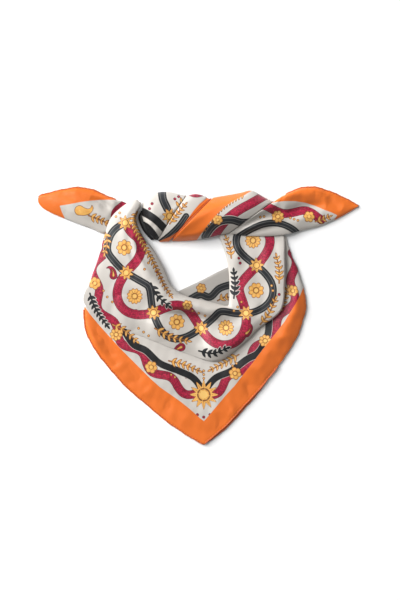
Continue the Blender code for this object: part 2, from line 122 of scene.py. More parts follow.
def ripple(x, y, seed, size):
    # slight unevenness of silk that has been handled
    draw = np.random.RandomState(seed)
    total = np.zeros_like(x)
    for wave in rippling["waves"]:
        turn = draw.uniform(0, math.pi)
        phase = draw.uniform(0, 2 * math.pi, 2)
        across = x * math.sin(turn) - y * math.cos(turn)
        along = x * math.cos(turn) + y * math.sin(turn)
        bend = rippling["bend"] * np.sin(across / (wave * rippling["bendLength"]) + phase[1])
        total += wave / rippling["waves"][0] * np.sin(along * 2 * math.pi / wave + phase[0]
                                                      + rippling["bendTurn"] * bend)
    return size * total


def turnDown(distance, radius):
    return np.sqrt(1 - (1 - np.clip(distance / radius, 0, 1)) ** 2)


def insetAt(piece, stations):
    if "inset" not in piece:
        return np.zeros(len(stations))
    table = np.asarray(piece["inset"], float)
    return np.interp(stations, table[:, 0], table[:, 1])


def wander(piece, stations):
    # a handled hem never runs quite true
    waves = sum(share * np.sin(stations * rate + phase) for rate, share, phase in hemWander)
    return piece.get("wander", 0.0) * waves


def edgesAt(piece, stations):
    edges = outlineAt(piece["outline"], stations, piece.get("corners", ()))
    a, b = edges[:, 0:2].copy(), edges[:, 2:4].copy()
    way = b - a
    way /= np.linalg.norm(way, axis=1)[:, None]
    b += way * wander(piece, stations)[:, None]
    return a - way * piece.get("tuck", 0), b - way * insetAt(piece, stations)[:, None]


def clothForm(piece):
    # upper and lower points of a piece, and how far along it each row of them is
    rows = len(piece["outline"]) - 1
    coarse = np.linspace(0, rows, rows * shell["trialSteps"] + 1)
    a, b = edgesAt(piece, coarse)
    step = np.max([np.linalg.norm(np.diff(side, axis=0), axis=1) for side in (a, b)], axis=0)
    run = np.concatenate([[0], np.cumsum(np.maximum(step, shell["leastStep"]))])
    count = max(int(run[-1] / grain), shell["leastRows"])
    stations = np.interp(np.linspace(0, run[-1], count), run, coarse)
    for corner in piece.get("corners", ()):
        stations[np.argmin(abs(stations - corner))] = corner
    a, b = edgesAt(piece, stations)
    length = np.linalg.norm(b - a, axis=1)
    across = max(int(length.max() / grain * shell["acrossMore"]), shell["leastAcross"])
    form = np.asarray(piece["form"], float)
    formAt = through(form[:, 0], form[:, 1:], stations)
    run = runAlong((a + b) / 2)
    ends = np.minimum(run, run[-1] - run)
    keeps = np.where(run < run[-1] / 2, piece["ends"][0], piece["ends"][1])
    even = np.linspace(0, 1, across + 1)
    bunched = 0.5 * (1 - np.cos(math.pi * even))
    sUpper = shell["evenShare"] * even + (1 - shell["evenShare"]) * bunched
    sUnder = 0.5 * (1 - np.cos(math.pi * np.linspace(0, 1, shell["underAcross"] + 1)))
    wide = length[:, None]
    thick, underA, underB = (formAt[:, k][:, None] for k in (7, 8, 9))
    thin = np.minimum(thick, shell["twoLayers"]) / 2
    bed = piece.get("bed", 0.0)
    end = (keeps + (1 - keeps) * turnDown(ends, shell["endRound"]))[:, None]
    made = []
    for s, isUpper in ((sUpper, True), (sUnder, False)):
        xy = a[:, None, :] + s[None, :, None] * (b - a)[:, None, :]
        top = np.array([through(acrossAt, heights, s) for heights in formAt[:, 0:7]])
        top += foldHeight(piece.get("folds", ()), xy[..., 0], xy[..., 1])
        if isUpper:
            top += foldHeight(piece.get("creases", ()), xy[..., 0], xy[..., 1])
        fromA = s[None, :] * wide
        fromB = (1 - s)[None, :] * wide
        riseA = np.clip(1 - (fromA - shell["liftWide"]) / shell["underStep"], 0, 1)
        riseB = np.clip(1 - (fromB - shell["liftWide"]) / shell["underStep"], 0, 1)
        ground = np.maximum(bed + (underA - bed) * riseA + (underB - bed) * riseB, 0)
        near = np.minimum(fromA, fromB)
        if isUpper:
            inside = np.clip(near / shell["rippleIn"], 0, 1)
            top += ripple(xy[..., 0], xy[..., 1], piece["seed"], piece["ripple"]) * inside
        top = np.maximum(top, ground + piece.get("least", shell["leastWall"]))
        below = np.maximum(ground, top - thick)
        centre = np.clip(np.where(fromA < fromB, underA + thin, underB + thin), below, top)
        if isUpper:
            rounding = np.minimum(piece.get("roundTop", shell["topRound"]), wide / shell["topPart"])
            z = centre + (top - centre) * turnDown(near, rounding) * end
        else:
            rounding = np.minimum(shell["underRound"], wide / shell["underPart"])
            z = centre - (centre - below) * turnDown(near, rounding) * end
        made.append(np.concatenate([xy, z[..., None]], axis=2))
    return made[0], made[1], run


def makeObject(name, points, faces, layers=None, uv=None):
    points = np.asarray(points, float)
    mesh = bpy.data.meshes.new(name)
    mesh.from_pydata(((points - footMiddle) * mm).tolist(), [], faces)
    for label, values in (layers or {}).items():
        attribute = mesh.attributes.new(label, "FLOAT", "POINT")
        attribute.data.foreach_set("value", np.asarray(values, np.float32))
    if uv is not None:
        corner = np.zeros(len(mesh.loops), np.int32)
        mesh.loops.foreach_get("vertex_index", corner)
        weave = mesh.uv_layers.new(name="weave")
        weave.data.foreach_set("uv", (uv[corner] * mm).astype(np.float32).ravel())
    mesh.shade_smooth()
    mesh.update()
    made = bpy.data.objects.new(name, mesh)
    bpy.context.scene.collection.objects.link(made)
    return made


def outwards(points, faces):
    # turns every face round if the closed form is inside out
    points = np.asarray(points, float)
    quads = np.array([face for face in faces if len(face) == 4])
    p = points[quads]
    volume = np.einsum("ij,ij->i", p[:, 0], np.cross(p[:, 1], p[:, 2])).sum()
    volume += np.einsum("ij,ij->i", p[:, 0], np.cross(p[:, 2], p[:, 3])).sum()
    return [face[::-1] for face in faces] if volume < 0 else faces


def tubeFaces(count, ring):
    # quads between rings of points, and a closed face at each end
    i, k = np.meshgrid(np.arange(count - 1), np.arange(ring), indexing="ij")
    after = (k + 1) % ring
    quads = np.stack([i * ring + k, i * ring + after, (i + 1) * ring + after, (i + 1) * ring + k], axis=-1)
    faces = quads.reshape(-1, 4).tolist()
    faces.append(list(range(ring - 1, -1, -1)))
    faces.append(list(range((count - 1) * ring, count * ring)))
    return faces


cloths = {}         # what is made of each piece, in order


def makeCloth(piece):
    upper, lower, run = clothForm(piece)
    count, across = upper.shape[0], upper.shape[1] - 1
    ringPoints = np.concatenate([upper, lower[:, shell["underAcross"] - 1:0:-1]], axis=1)
    ring = ringPoints.shape[1]
    points = ringPoints.reshape(-1, 3)
    faces = outwards(points, tubeFaces(count, ring))
    # how far along the cloth each point is, over its slopes
    step = np.linalg.norm(np.diff(ringPoints, axis=1), axis=2)
    arc = np.concatenate([np.zeros((count, 1)), np.cumsum(step, axis=1)], axis=1)
    arc[:, across + 1:] = np.minimum(arc[:, across + 1:],
                                     2 * arc[:, across:across + 1] - arc[:, across + 1:])
    uv = np.stack([arc, np.repeat(run[:, None], ring, axis=1)], axis=-1).reshape(-1, 2)
    made = makeObject(piece["name"], points, faces, printLayers(points[:, 0:2].copy(), piece), uv)
    made.data.materials.append(silkOf[piece["slot"]])
    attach(made, "root")
    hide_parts(piece["node"])
    area = sum(face.area for face in made.data.polygons) / 2
    print(f"{piece['name']}: {len(made.data.polygons)} faces, cloth {area:.4f} m2")
    cloths[piece["name"]] = dict(piece=piece, made=made, upper=upper)


# The print: ribbons, flowers, sprays and stars, each as a distance in mm that is below 0 inside it.

far = 30.0
detail = dict(stroke=7, wave=12, spray=24)          # points between two points of a path
flowerForm = dict(
    waist=0.74, petalPower=0.7, soft=0.9, veinHalf=0.42, veins=(0.40, 0.80), ringAt=0.36, ringHalf=0.06,
    heart=0.22, rayHalf=0.5, rays=(0.52, 0.84),
)
starForm = dict(
    waist=0.52, pointPower=1.3, soft=0.8, veinHalf=0.4, veins=(0.42, 0.84), ringAt=0.40, ringHalf=0.05,
    heart=0.26,
)
sprayForm = dict(
    stem=(1.7, 1.1), leafEvery=0.80, firstLeaf=0.7, lastLeaf=0.2, taper=0.35, turn=0.85, leafWide=0.38,
    tipLong=0.7, tipWide=0.3, bulge=0.8,
)
paisleyForm = dict(
    bend=((0.0, 0.0), (0.42, 0.10), (0.78, 0.34), (0.92, 0.70), (0.76, 1.0)), wide=0.46, power=0.8,
    heart=(0.30, 0.06), seed=0.07,
)
garlandForm = dict(crimson=14, charcoal=11, petals=(8, 12), points=8, turn=0.3)


def pointsAt(places, run, path):
    return np.stack([np.interp(places, run, column) for column in path.T], axis=-1)


def smoothPath(path, pieces):
    path = np.asarray(path, float)
    if len(path) < 3:
        return path
    return through(np.arange(len(path)), path, np.linspace(0, len(path) - 1, (len(path) - 1) * pieces + 1))


def alongPath(points, path):
    # for points near the path: how far off it, and how far along it in mm
    path = smoothPath(path, detail["stroke"])
    inside = ((points > path.min(axis=0) - far) & (points < path.max(axis=0) + far)).all(axis=1)
    p = points[inside]
    off = np.full(len(p), far)
    place = np.zeros(len(p))
    start = 0.0
    for a, b in zip(path[:-1], path[1:]):
        edge = b - a
        length = max(np.linalg.norm(edge), 1e-6)
        run = np.clip(((p - a) @ edge) / length**2, 0, 1)
        away = np.linalg.norm(p - a - run[:, None] * edge, axis=1)
        place = np.where(away < off, start + run * length, place)
        off = np.minimum(off, away)
        start += length
    return inside, off, place, start


def strokeAway(points, path, wideStart, wideEnd):
    inside, off, place, total = alongPath(points, path)
    found = np.full(len(points), far)
    found[inside] = off - (wideStart + (wideEnd - wideStart) * place / total) / 2
    return found


def waving(path, swing, length, phase, spacing=6.0):
    # points that swing from side to side of a path
    line = smoothPath(path, detail["wave"])
    run = runAlong(line)
    at = np.linspace(0, run[-1], int(run[-1] / spacing) + 1)
    middle = pointsAt(at, run, line)
    ahead = np.gradient(middle, axis=0)
    ahead /= np.linalg.norm(ahead, axis=1)[:, None]
    side = np.column_stack([-ahead[:, 1], ahead[:, 0]])
    return middle + side * (swing * np.sin(2 * math.pi * at / length + phase))[:, None]


def polygonAway(points, polygon):
    polygon = np.asarray(polygon, float)
    found = np.full(len(points), np.inf)
    inside = np.zeros(len(points), bool)
    for a, b in zip(polygon, np.roll(polygon, -1, axis=0)):
        edge = b - a
        run = np.clip(((points - a) @ edge) / (edge @ edge), 0, 1)
        found = np.minimum(found, np.linalg.norm(points - a - run[:, None] * edge, axis=1))
        if edge[1]:
            crosses = (a[1] > points[:, 1]) != (b[1] > points[:, 1])
            at = a[0] + (points[:, 1] - a[1]) / edge[1] * edge[0]
            inside ^= crosses & (points[:, 0] < at)
    return np.where(inside, -found, found)


def leafAway(points, base, tip, wide):
    axis = tip - base
    length = np.linalg.norm(axis)
    axis /= length
    along = (points - base) @ axis
    side = abs((points - base) @ np.array([-axis[1], axis[0]]))
    t = np.clip(along / length, 0, 1)
    half = wide / 2 * np.sin(math.pi * t ** sprayForm["bulge"]) ** sprayForm["bulge"]
    beyond = np.maximum(np.maximum(-along, along - length), 0)
    return np.hypot(np.maximum(side - half, 0), beyond) - np.maximum(half - side, 0) * (beyond == 0)


def addTo(layers, label, away):
    layers[label] = np.minimum(layers[label], np.clip(away, -far, far))


def drawRibbon(layers, p, label, wide, path):
    addTo(layers, label, strokeAway(p, path, wide, wide))


def roundPlace(p, x, y, turn):
    return np.hypot(p[:, 0] - x, p[:, 1] - y), np.arctan2(p[:, 1] - y, p[:, 0] - x) + turn


def between(r, radius, ends):
    return np.maximum(radius * ends[0] - r, r - radius * ends[1])


def drawHeart(layers, r, radius, form):
    addTo(layers, "core", abs(r - radius * form["ringAt"]) - radius * form["ringHalf"])
    addTo(layers, "bright", r - radius * form["heart"])


def drawFlower(layers, p, x, y, radius, petals, turn):
    form = flowerForm
    r, angle = roundPlace(p, x, y, turn)
    petal = abs(np.cos(petals / 2 * angle))
    edge = radius * (form["waist"] + (1 - form["waist"]) * petal ** form["petalPower"])
    addTo(layers, "gold", (r - edge) * form["soft"])
    vein = petal * r * 2 / petals - form["veinHalf"]
    addTo(layers, "vein", np.maximum(vein, between(r, radius, form["veins"])))
    drawHeart(layers, r, radius, form)
    ray = abs(np.sin(petals / 2 * angle)) * r * 2 / petals - form["rayHalf"]
    addTo(layers, "bright", np.maximum(ray, between(r, radius, form["rays"])))


def drawStar(layers, p, x, y, radius, points, turn):
    form = starForm
    r, angle = roundPlace(p, x, y, turn)
    spoke = abs((angle * points / (2 * math.pi) + 0.5) % 1 - 0.5) * 2      # 0 on a point, 1 between points
    edge = radius * (form["waist"] + (1 - form["waist"]) * (1 - spoke) ** form["pointPower"])
    addTo(layers, "gold", (r - edge) * form["soft"])
    vein = spoke * r * math.pi / points - form["veinHalf"]
    addTo(layers, "vein", np.maximum(vein, between(r, radius, form["veins"])))
    drawHeart(layers, r, radius, form)


def drawSpray(layers, p, label, leaf, path):
    # a stem with a pair of leaves at each step, smaller towards the tip
    form = sprayForm
    addTo(layers, label, strokeAway(p, path, *form["stem"]))
    line = smoothPath(path, detail["spray"])
    run = runAlong(line)
    count = max(int(run[-1] / (leaf * form["leafEvery"])), 2)
    for k in range(count):
        place = run[-1] * (k + form["firstLeaf"]) / (count + form["lastLeaf"])
        at, onward = pointsAt([place, place + 1], run, line)
        ahead = onward - at
        heading = math.atan2(ahead[1], ahead[0]) if np.linalg.norm(ahead) > 1e-6 else heading
        size = leaf * (1.0 - form["taper"] * k / count)
        for side in (1, -1):
            turn = heading + side * form["turn"]
            tip = at + size * np.array([math.cos(turn), math.sin(turn)])
            addTo(layers, label, leafAway(p, at, tip, size * form["leafWide"]))
    last = line[-1] - line[-2]
    tip = line[-1] + leaf * form["tipLong"] * last / np.linalg.norm(last)
    addTo(layers, label, leafAway(p, line[-1], tip, leaf * form["tipWide"]))


def drawPaisley(layers, p, label, x, y, size, turn):
    form = paisleyForm
    c, s = math.cos(turn) * size, math.sin(turn) * size
    path = [(x + c * u - s * v, y + s * u + c * v) for u, v in form["bend"]]
    inside, off, place, total = alongPath(p, path)
    away = np.full(len(p), far)
    away[inside] = off - size * form["wide"] * np.clip(1 - place / total, 0.01, 1) ** form["power"]
    addTo(layers, label, away)
    addTo(layers, "gold", strokeAway(p, path[:3], *(size * wide for wide in form["heart"])))
    addTo(layers, "bright", roundPlace(p, x, y, 0)[0] - size * form["seed"])


def drawDots(layers, p, label, radius, places):
    for x, y in places:
        addTo(layers, label, roundPlace(p, x, y, 0)[0] - radius)


def drawGarland(layers, p, path, swing, length, phase, flower, star):
    # two ribbons that plait along a path, a flower in each opening and a star on each crossing
    form = garlandForm
    drawRibbon(layers, p, "crimson", form["crimson"], waving(path, swing, length, phase))
    drawRibbon(layers, p, "charcoal", form["charcoal"], waving(path, swing, length, phase + math.pi))
    line = waving(path, 0, length, 0, 1.0)
    first = -phase * length / (2 * math.pi) % (length / 2)
    for k in range(-1, int(2 * len(line) / length) + 2):
        for place, isCrossing in ((first + k * length / 2, True), (first + (k + 0.5) * length / 2, False)):
            if not 0 <= place < len(line):
                continue
            x, y = line[int(place)]
            if isCrossing:
                drawStar(layers, p, x, y, star, form["points"], form["turn"] * k)
            else:
                drawFlower(layers, p, x, y, flower, form["petals"][k % 2], form["turn"] * k)


drawing = {
    "ribbon": drawRibbon, "garland": drawGarland, "flower": drawFlower, "star": drawStar,
    "spray": drawSpray,
    "paisley": drawPaisley, "dots": drawDots,
}


def printLayers(plan, piece):
    layers = {label: np.full(len(plan), far) for label in
              ("crimson", "charcoal", "ink", "gold", "core", "vein", "bright", "border")}
    for motif in piece.get("print", ()):
        drawing[motif[0]](layers, plan, *motif[1:])
    if "border" in piece:
        layers["border"] = np.clip(-polygonAway(plan, piece["border"]), -far, far)
    return layers


# Materials.

class Wire:
    # a socket that takes part in arithmetic: each sum or product adds its Math node
    def __init__(self, bench, socket):
        self.bench, self.socket = bench, socket

    def math(self, operation, *values):
        return self.bench.node("ShaderNodeMath", {"operation": operation}, dict(enumerate(values)))

    def __add__(self, other): return self.math("ADD", self, other)
    def __radd__(self, other): return self.math("ADD", other, self)
    def __sub__(self, other): return self.math("SUBTRACT", self, other)
    def __rsub__(self, other): return self.math("SUBTRACT", other, self)
    def __mul__(self, other): return self.math("MULTIPLY", self, other)
    def __rmul__(self, other): return self.math("MULTIPLY", other, self)
    def __truediv__(self, other): return self.math("DIVIDE", self, other)

    def clamp(self): return self.bench.node("ShaderNodeClamp", {}, {0: self})
    def sine(self): return self.math("SINE", self)
    def size(self): return self.math("ABSOLUTE", self)


class Bench:
    # the nodes of one material
    def __init__(self, name):
        self.material = bpy.data.materials.new(name)
        self.material.use_nodes = True
        self.tree = self.material.node_tree
        self.shader = self.tree.nodes["Principled BSDF"]
        self.place = self.node("ShaderNodeTexCoord", {}, {}, 3)

    def node(self, kind, settings, inputs, output=0):
        made = self.tree.nodes.new(kind)
        for name, value in settings.items():
            setattr(made, name, value)
        for key, value in inputs.items():
            self.feed(made.inputs[key], value)
        return Wire(self, made.outputs[output])

    def feed(self, socket, value):
        if isinstance(value, Wire):
            self.tree.links.new(value.socket, socket)
        else:
            socket.default_value = value

    def mix(self, share, first, second, blend="MIX"):
        colours = [value if isinstance(value, Wire) else (*value, 1) for value in (first, second)]
        settings = {"data_type": "RGBA", "blend_type": blend}
        return self.node("ShaderNodeMix", settings, {0: share, 6: colours[0], 7: colours[1]}, 2)

    def layer(self, label):
        return self.node("ShaderNodeAttribute", {"attribute_name": label}, {}, 2)

    def noise(self, scale, fine=2.0):
        return self.node("ShaderNodeTexNoise", {}, {"Vector": self.place, "Scale": scale, "Detail": fine})

    def bump(self, strength, distance, height):
        inputs = {"Strength": strength, "Distance": distance, "Height": height}
        return self.node("ShaderNodeBump", {}, inputs)

    def finish(self, **sockets):
        for name, value in sockets.items():
            self.feed(self.shader.inputs[name.replace("_", " ")], value)
        return self.material


silk = dict(
    ivory=(0.490, 0.458, 0.420),
    orange=(0.700, 0.147, 0.0145),
    crimson=(0.170, 0.004, 0.020),
    crimsonLight=(0.460, 0.013, 0.054),
    maroon=(0.110, 0.008, 0.020),
    charcoal=(0.013, 0.015, 0.018),
    black=(0.006, 0.006, 0.007),
    pale=(0.50, 0.47, 0.43),
    gold=(0.600, 0.225, 0.032),
    brightGold=(0.710, 0.440, 0.125),
    brown=(0.170, 0.060, 0.016),
    cloud=22.0, cloudShare=0.6, ivoryDark=0.93, orangeDark=0.86,        # slow changes of the ground colours
    fleck=900.0, velvet=380.0, velvetShare=2.6, fleckShare=1.2, velvetLift=0.42,    # the crimson is mottled
    goldGrain=160.0,
    soft=0.35,                          # how wide the edge of a printed colour is, mm
    outline=0.9,                        # outline round each motif, mm
    darkLine=0.6, paleRing=1.5, brownLine=0.5, inkRing=0.5,     # the first three are shares of the outline
    lineIn=2.6, lineHalf=0.4,           # fine line inside each ribbon, mm
    seamShare=0.8, trimShare=0.22, veinShare=0.8,
    twill=0.55, twillShare=0.045, twillDark=0.2,        # twill lines, mm apart
    slub=260.0, twillHigh=0.30, threadHigh=0.12, slubHigh=1.4, bump=(0.18, 0.00025),
    paintedShadeDim=0.62,                      # painted shade: every colour darker for the cloth seen inside the folds
    roughness=0.38, cloudRough=0.10, fleckRough=0.05, sheen=0.05, sheenRoughness=0.45, specular=0.42,
)


def silkMaterial(name, dim):
    bench = Bench(name)
    outline = silk["outline"]

    # dim darkens every colour; below 1 it is painted shade
    def tone(colour, share=1.0):
        return tuple(part * share * dim for part in silk[colour])

    def cover(away):
        return (0.5 - away / silk["soft"]).clamp()

    def motif(label, grow=0.0):
        return cover(bench.layer(label) - grow)

    def lineInside(label):
        return cover((bench.layer(label) + silk["lineIn"]).size() - silk["lineHalf"])

    cloudy = bench.noise(silk["cloud"], 3.0)
    fleck = bench.noise(silk["fleck"])
    colour = bench.mix(cloudy * silk["cloudShare"], tone("ivory"), tone("ivory", silk["ivoryDark"]))
    orangeTone = bench.mix(cloudy, tone("orange"), tone("orange", silk["orangeDark"]))
    colour = bench.mix(motif("border"), colour, orangeTone)
    ground = (bench.layer("border") / silk["soft"] + 0.5).clamp()       # no motif on the border
    velvet = ((bench.noise(silk["velvet"]) - 0.5) * silk["velvetShare"] + (fleck - 0.5) * silk["fleckShare"]
              + silk["velvetLift"]).clamp()
    crimsonTone = bench.mix(velvet, tone("crimson"), tone("crimsonLight"))
    goldTone = bench.mix(bench.noise(silk["goldGrain"], 1.0), tone("gold"), tone("brightGold"))
    painted = (
        (motif("crimson", outline * silk["darkLine"]), tone("maroon")),
        (motif("crimson", -outline * silk["darkLine"]), crimsonTone),
        (lineInside("crimson") * silk["seamShare"], tone("maroon")),
        (motif("charcoal", outline * silk["paleRing"]), tone("pale")),
        (motif("charcoal", outline * silk["darkLine"]), tone("black")),
        (motif("charcoal", -outline * silk["darkLine"]), tone("charcoal")),
        (lineInside("charcoal") * silk["trimShare"], tone("pale")),
        (motif("ink", silk["inkRing"]), tone("pale")),
        (motif("ink"), tone("black")),
        (motif("gold", outline * silk["brownLine"]), tone("brown")),
        (motif("gold", -outline * silk["brownLine"]), goldTone),
        (motif("vein") * silk["veinShare"], tone("brown")),
        (motif("core"), tone("brown")),
        (motif("bright"), tone("brightGold")),
    )
    for share, paint in painted:
        colour = bench.mix(share * ground, colour, paint)
    # twill lines run at 45 degrees to the threads, with slight slubs
    uv = bench.node("ShaderNodeUVMap", {"uv_map": "weave"}, {})
    across, along = (bench.node("ShaderNodeSeparateXYZ", {}, {0: uv}, k) for k in (0, 1))
    turn = 2 * math.pi / (silk["twill"] * mm)
    twill = ((across + along) * turn).sine()
    thread = ((across - along) * turn * 0.5).sine()
    lines = bench.mix(twill * 0.5 + 0.5, (silk["twillDark"],) * 3, (1.0,) * 3)
    slub = bench.noise(silk["slub"], 3.0)
    height = twill * silk["twillHigh"] + thread * silk["threadHigh"] + slub * silk["slubHigh"]
    return bench.finish(
        Base_Color=bench.mix(silk["twillShare"], colour, lines, "MULTIPLY"),
        Roughness=silk["roughness"] + cloudy * silk["cloudRough"] + fleck * silk["fleckRough"],
        Normal=bench.bump(*silk["bump"], height),
        Sheen_Weight=silk["sheen"], Sheen_Roughness=silk["sheenRoughness"],
        Specular_IOR_Level=silk["specular"])


# the rolled hem is darker than the orange cloth: painted shade along the roll; its light and dark tones vary
# at random
hemLook = dict(
    light=(0.58, 0.108, 0.014), dark=(0.38, 0.066, 0.009), fleckTone=(0.32, 0.055, 0.009), uneven=180.0,
    fleck=1400.0, fleckShare=0.25, fleckHigh=0.4, bump=(0.3, 0.0003), roughness=0.40, unevenRough=0.12,
    sheen=0.2, sheenRoughness=0.45,
)
threadLook = dict(
    light=(0.72, 0.150, 0.028), dark=(0.92, 0.30, 0.075), twist=2600.0, bump=(0.4, 0.0001), roughness=0.35,
    twistRough=0.15,
)


def hemMaterial(look):
    bench = Bench("hemSilk")
    uneven = bench.noise(look["uneven"], 3.0)
    fleck = bench.noise(look["fleck"])
    colour = bench.mix(uneven, look["light"], look["dark"])
    return bench.finish(
        Base_Color=bench.mix(fleck * look["fleckShare"], colour, look["fleckTone"]),
        Roughness=look["roughness"] + uneven * look["unevenRough"],
        Normal=bench.bump(*look["bump"], uneven + fleck * look["fleckHigh"]),
        Sheen_Weight=look["sheen"], Sheen_Roughness=look["sheenRoughness"])


def threadMaterial(look):
    bench = Bench("hemThread")
    twist = bench.noise(look["twist"])
    return bench.finish(
        Base_Color=bench.mix(twist, look["light"], look["dark"]),
        Roughness=look["roughness"] + twist * look["twistRough"],
        Normal=bench.bump(*look["bump"], twist))


printedSilk = silkMaterial("printedSilk", 1.0)
# shaded_silk is the same print with every colour darkened: painted shade for the nape panel and the tuck fold
silkOf = {"ivory_silk": printedSilk, "orange_silk": printedSilk,
          "shaded_silk": silkMaterial("paintedShadeSilk", silk["paintedShadeDim"])}
hemSilk = hemMaterial(hemLook)
hemThread = threadMaterial(threadLook)
print("materials made")

# The pieces. An outline row is a point of edge a and one of edge b. A form row is a place along the outline,
# heights h0 to h6, the thickness, and the height of the underside at a and at b. A fold or crease is three
# points of its line, its height, and its width to the left and to the right.

# Ground of the front layer inside its border.
bibGround = (
    (-300, 14), (-182, 14), (-174, 2.8), (-158, -16.4), (-142, -34), (-126, -51.6), (-110, -67.6),
    (-94, -83.6), (-78, -99.6), (-62, -114), (-46, -125.2), (-30, -136.4), (-14, -149.2), (2, -163.6),
    (8.4, -168.4), (26, -147.6), (42, -128.4), (58, -110.8), (74, -90), (86.8, -74), (101.2, -54.8),
    (114, -38.8), (125.2, -24.4), (136.4, -10), (146, 6), (154, 18.8), (162, 33.2), (166.8, 44.4),
    (180, 70), (180, 300), (-300, 300),
)

neckLine = (
    (-117, 148), (-121, 128), (-117, 98), (-115, 66), (-104, 34), (-80, 10), (-46, -6), (-6, -18),
    (30, -22), (58, -12), (78, 8), (90, 34), (93, 64), (90, 98), (84, 136),
)
vineLeft = (
    (-150, 116), (-162, 84), (-166, 52), (-160, 24), (-146, -4), (-126, -32), (-100, -58), (-72, -84),
    (-44, -106), (-18, -120), (8, -126),
)
vineRight = (
    (8, -126), (36, -114), (62, -90), (86, -64), (108, -38), (128, -12), (143, 14), (151, 40), (152, 68),
    (147, 100),
)
# What runs on over the fold at the left without a break.
overFold = (
    ("ribbon", "crimson", 13, waving(vineLeft, 6, 64, 0.4)),
    ("spray", "charcoal", 9, ((-174, 36), (-168, 18), (-158, 0), (-146, -16))),
    ("ribbon", "ink", 11, ((8, -122), (-8, -100), (-32, -88), (-62, -76), (-84, -56), (-104, -46),
                           (-118, -26))),
    ("spray", "gold", 10, ((-138, -14), (-118, -24), (-100, -40))), ("flower", -166, 52, 10, 6, 0.4),
    ("flower", -132, -30, 10, 8, 0.1), ("flower", -76, -82, 10, 6, 0.2),
    ("dots", "gold", 1.8, ((-152, 40), (-146, 30), (-138, 22), (-96, -20), (-88, -26), (-80, -32))),
)

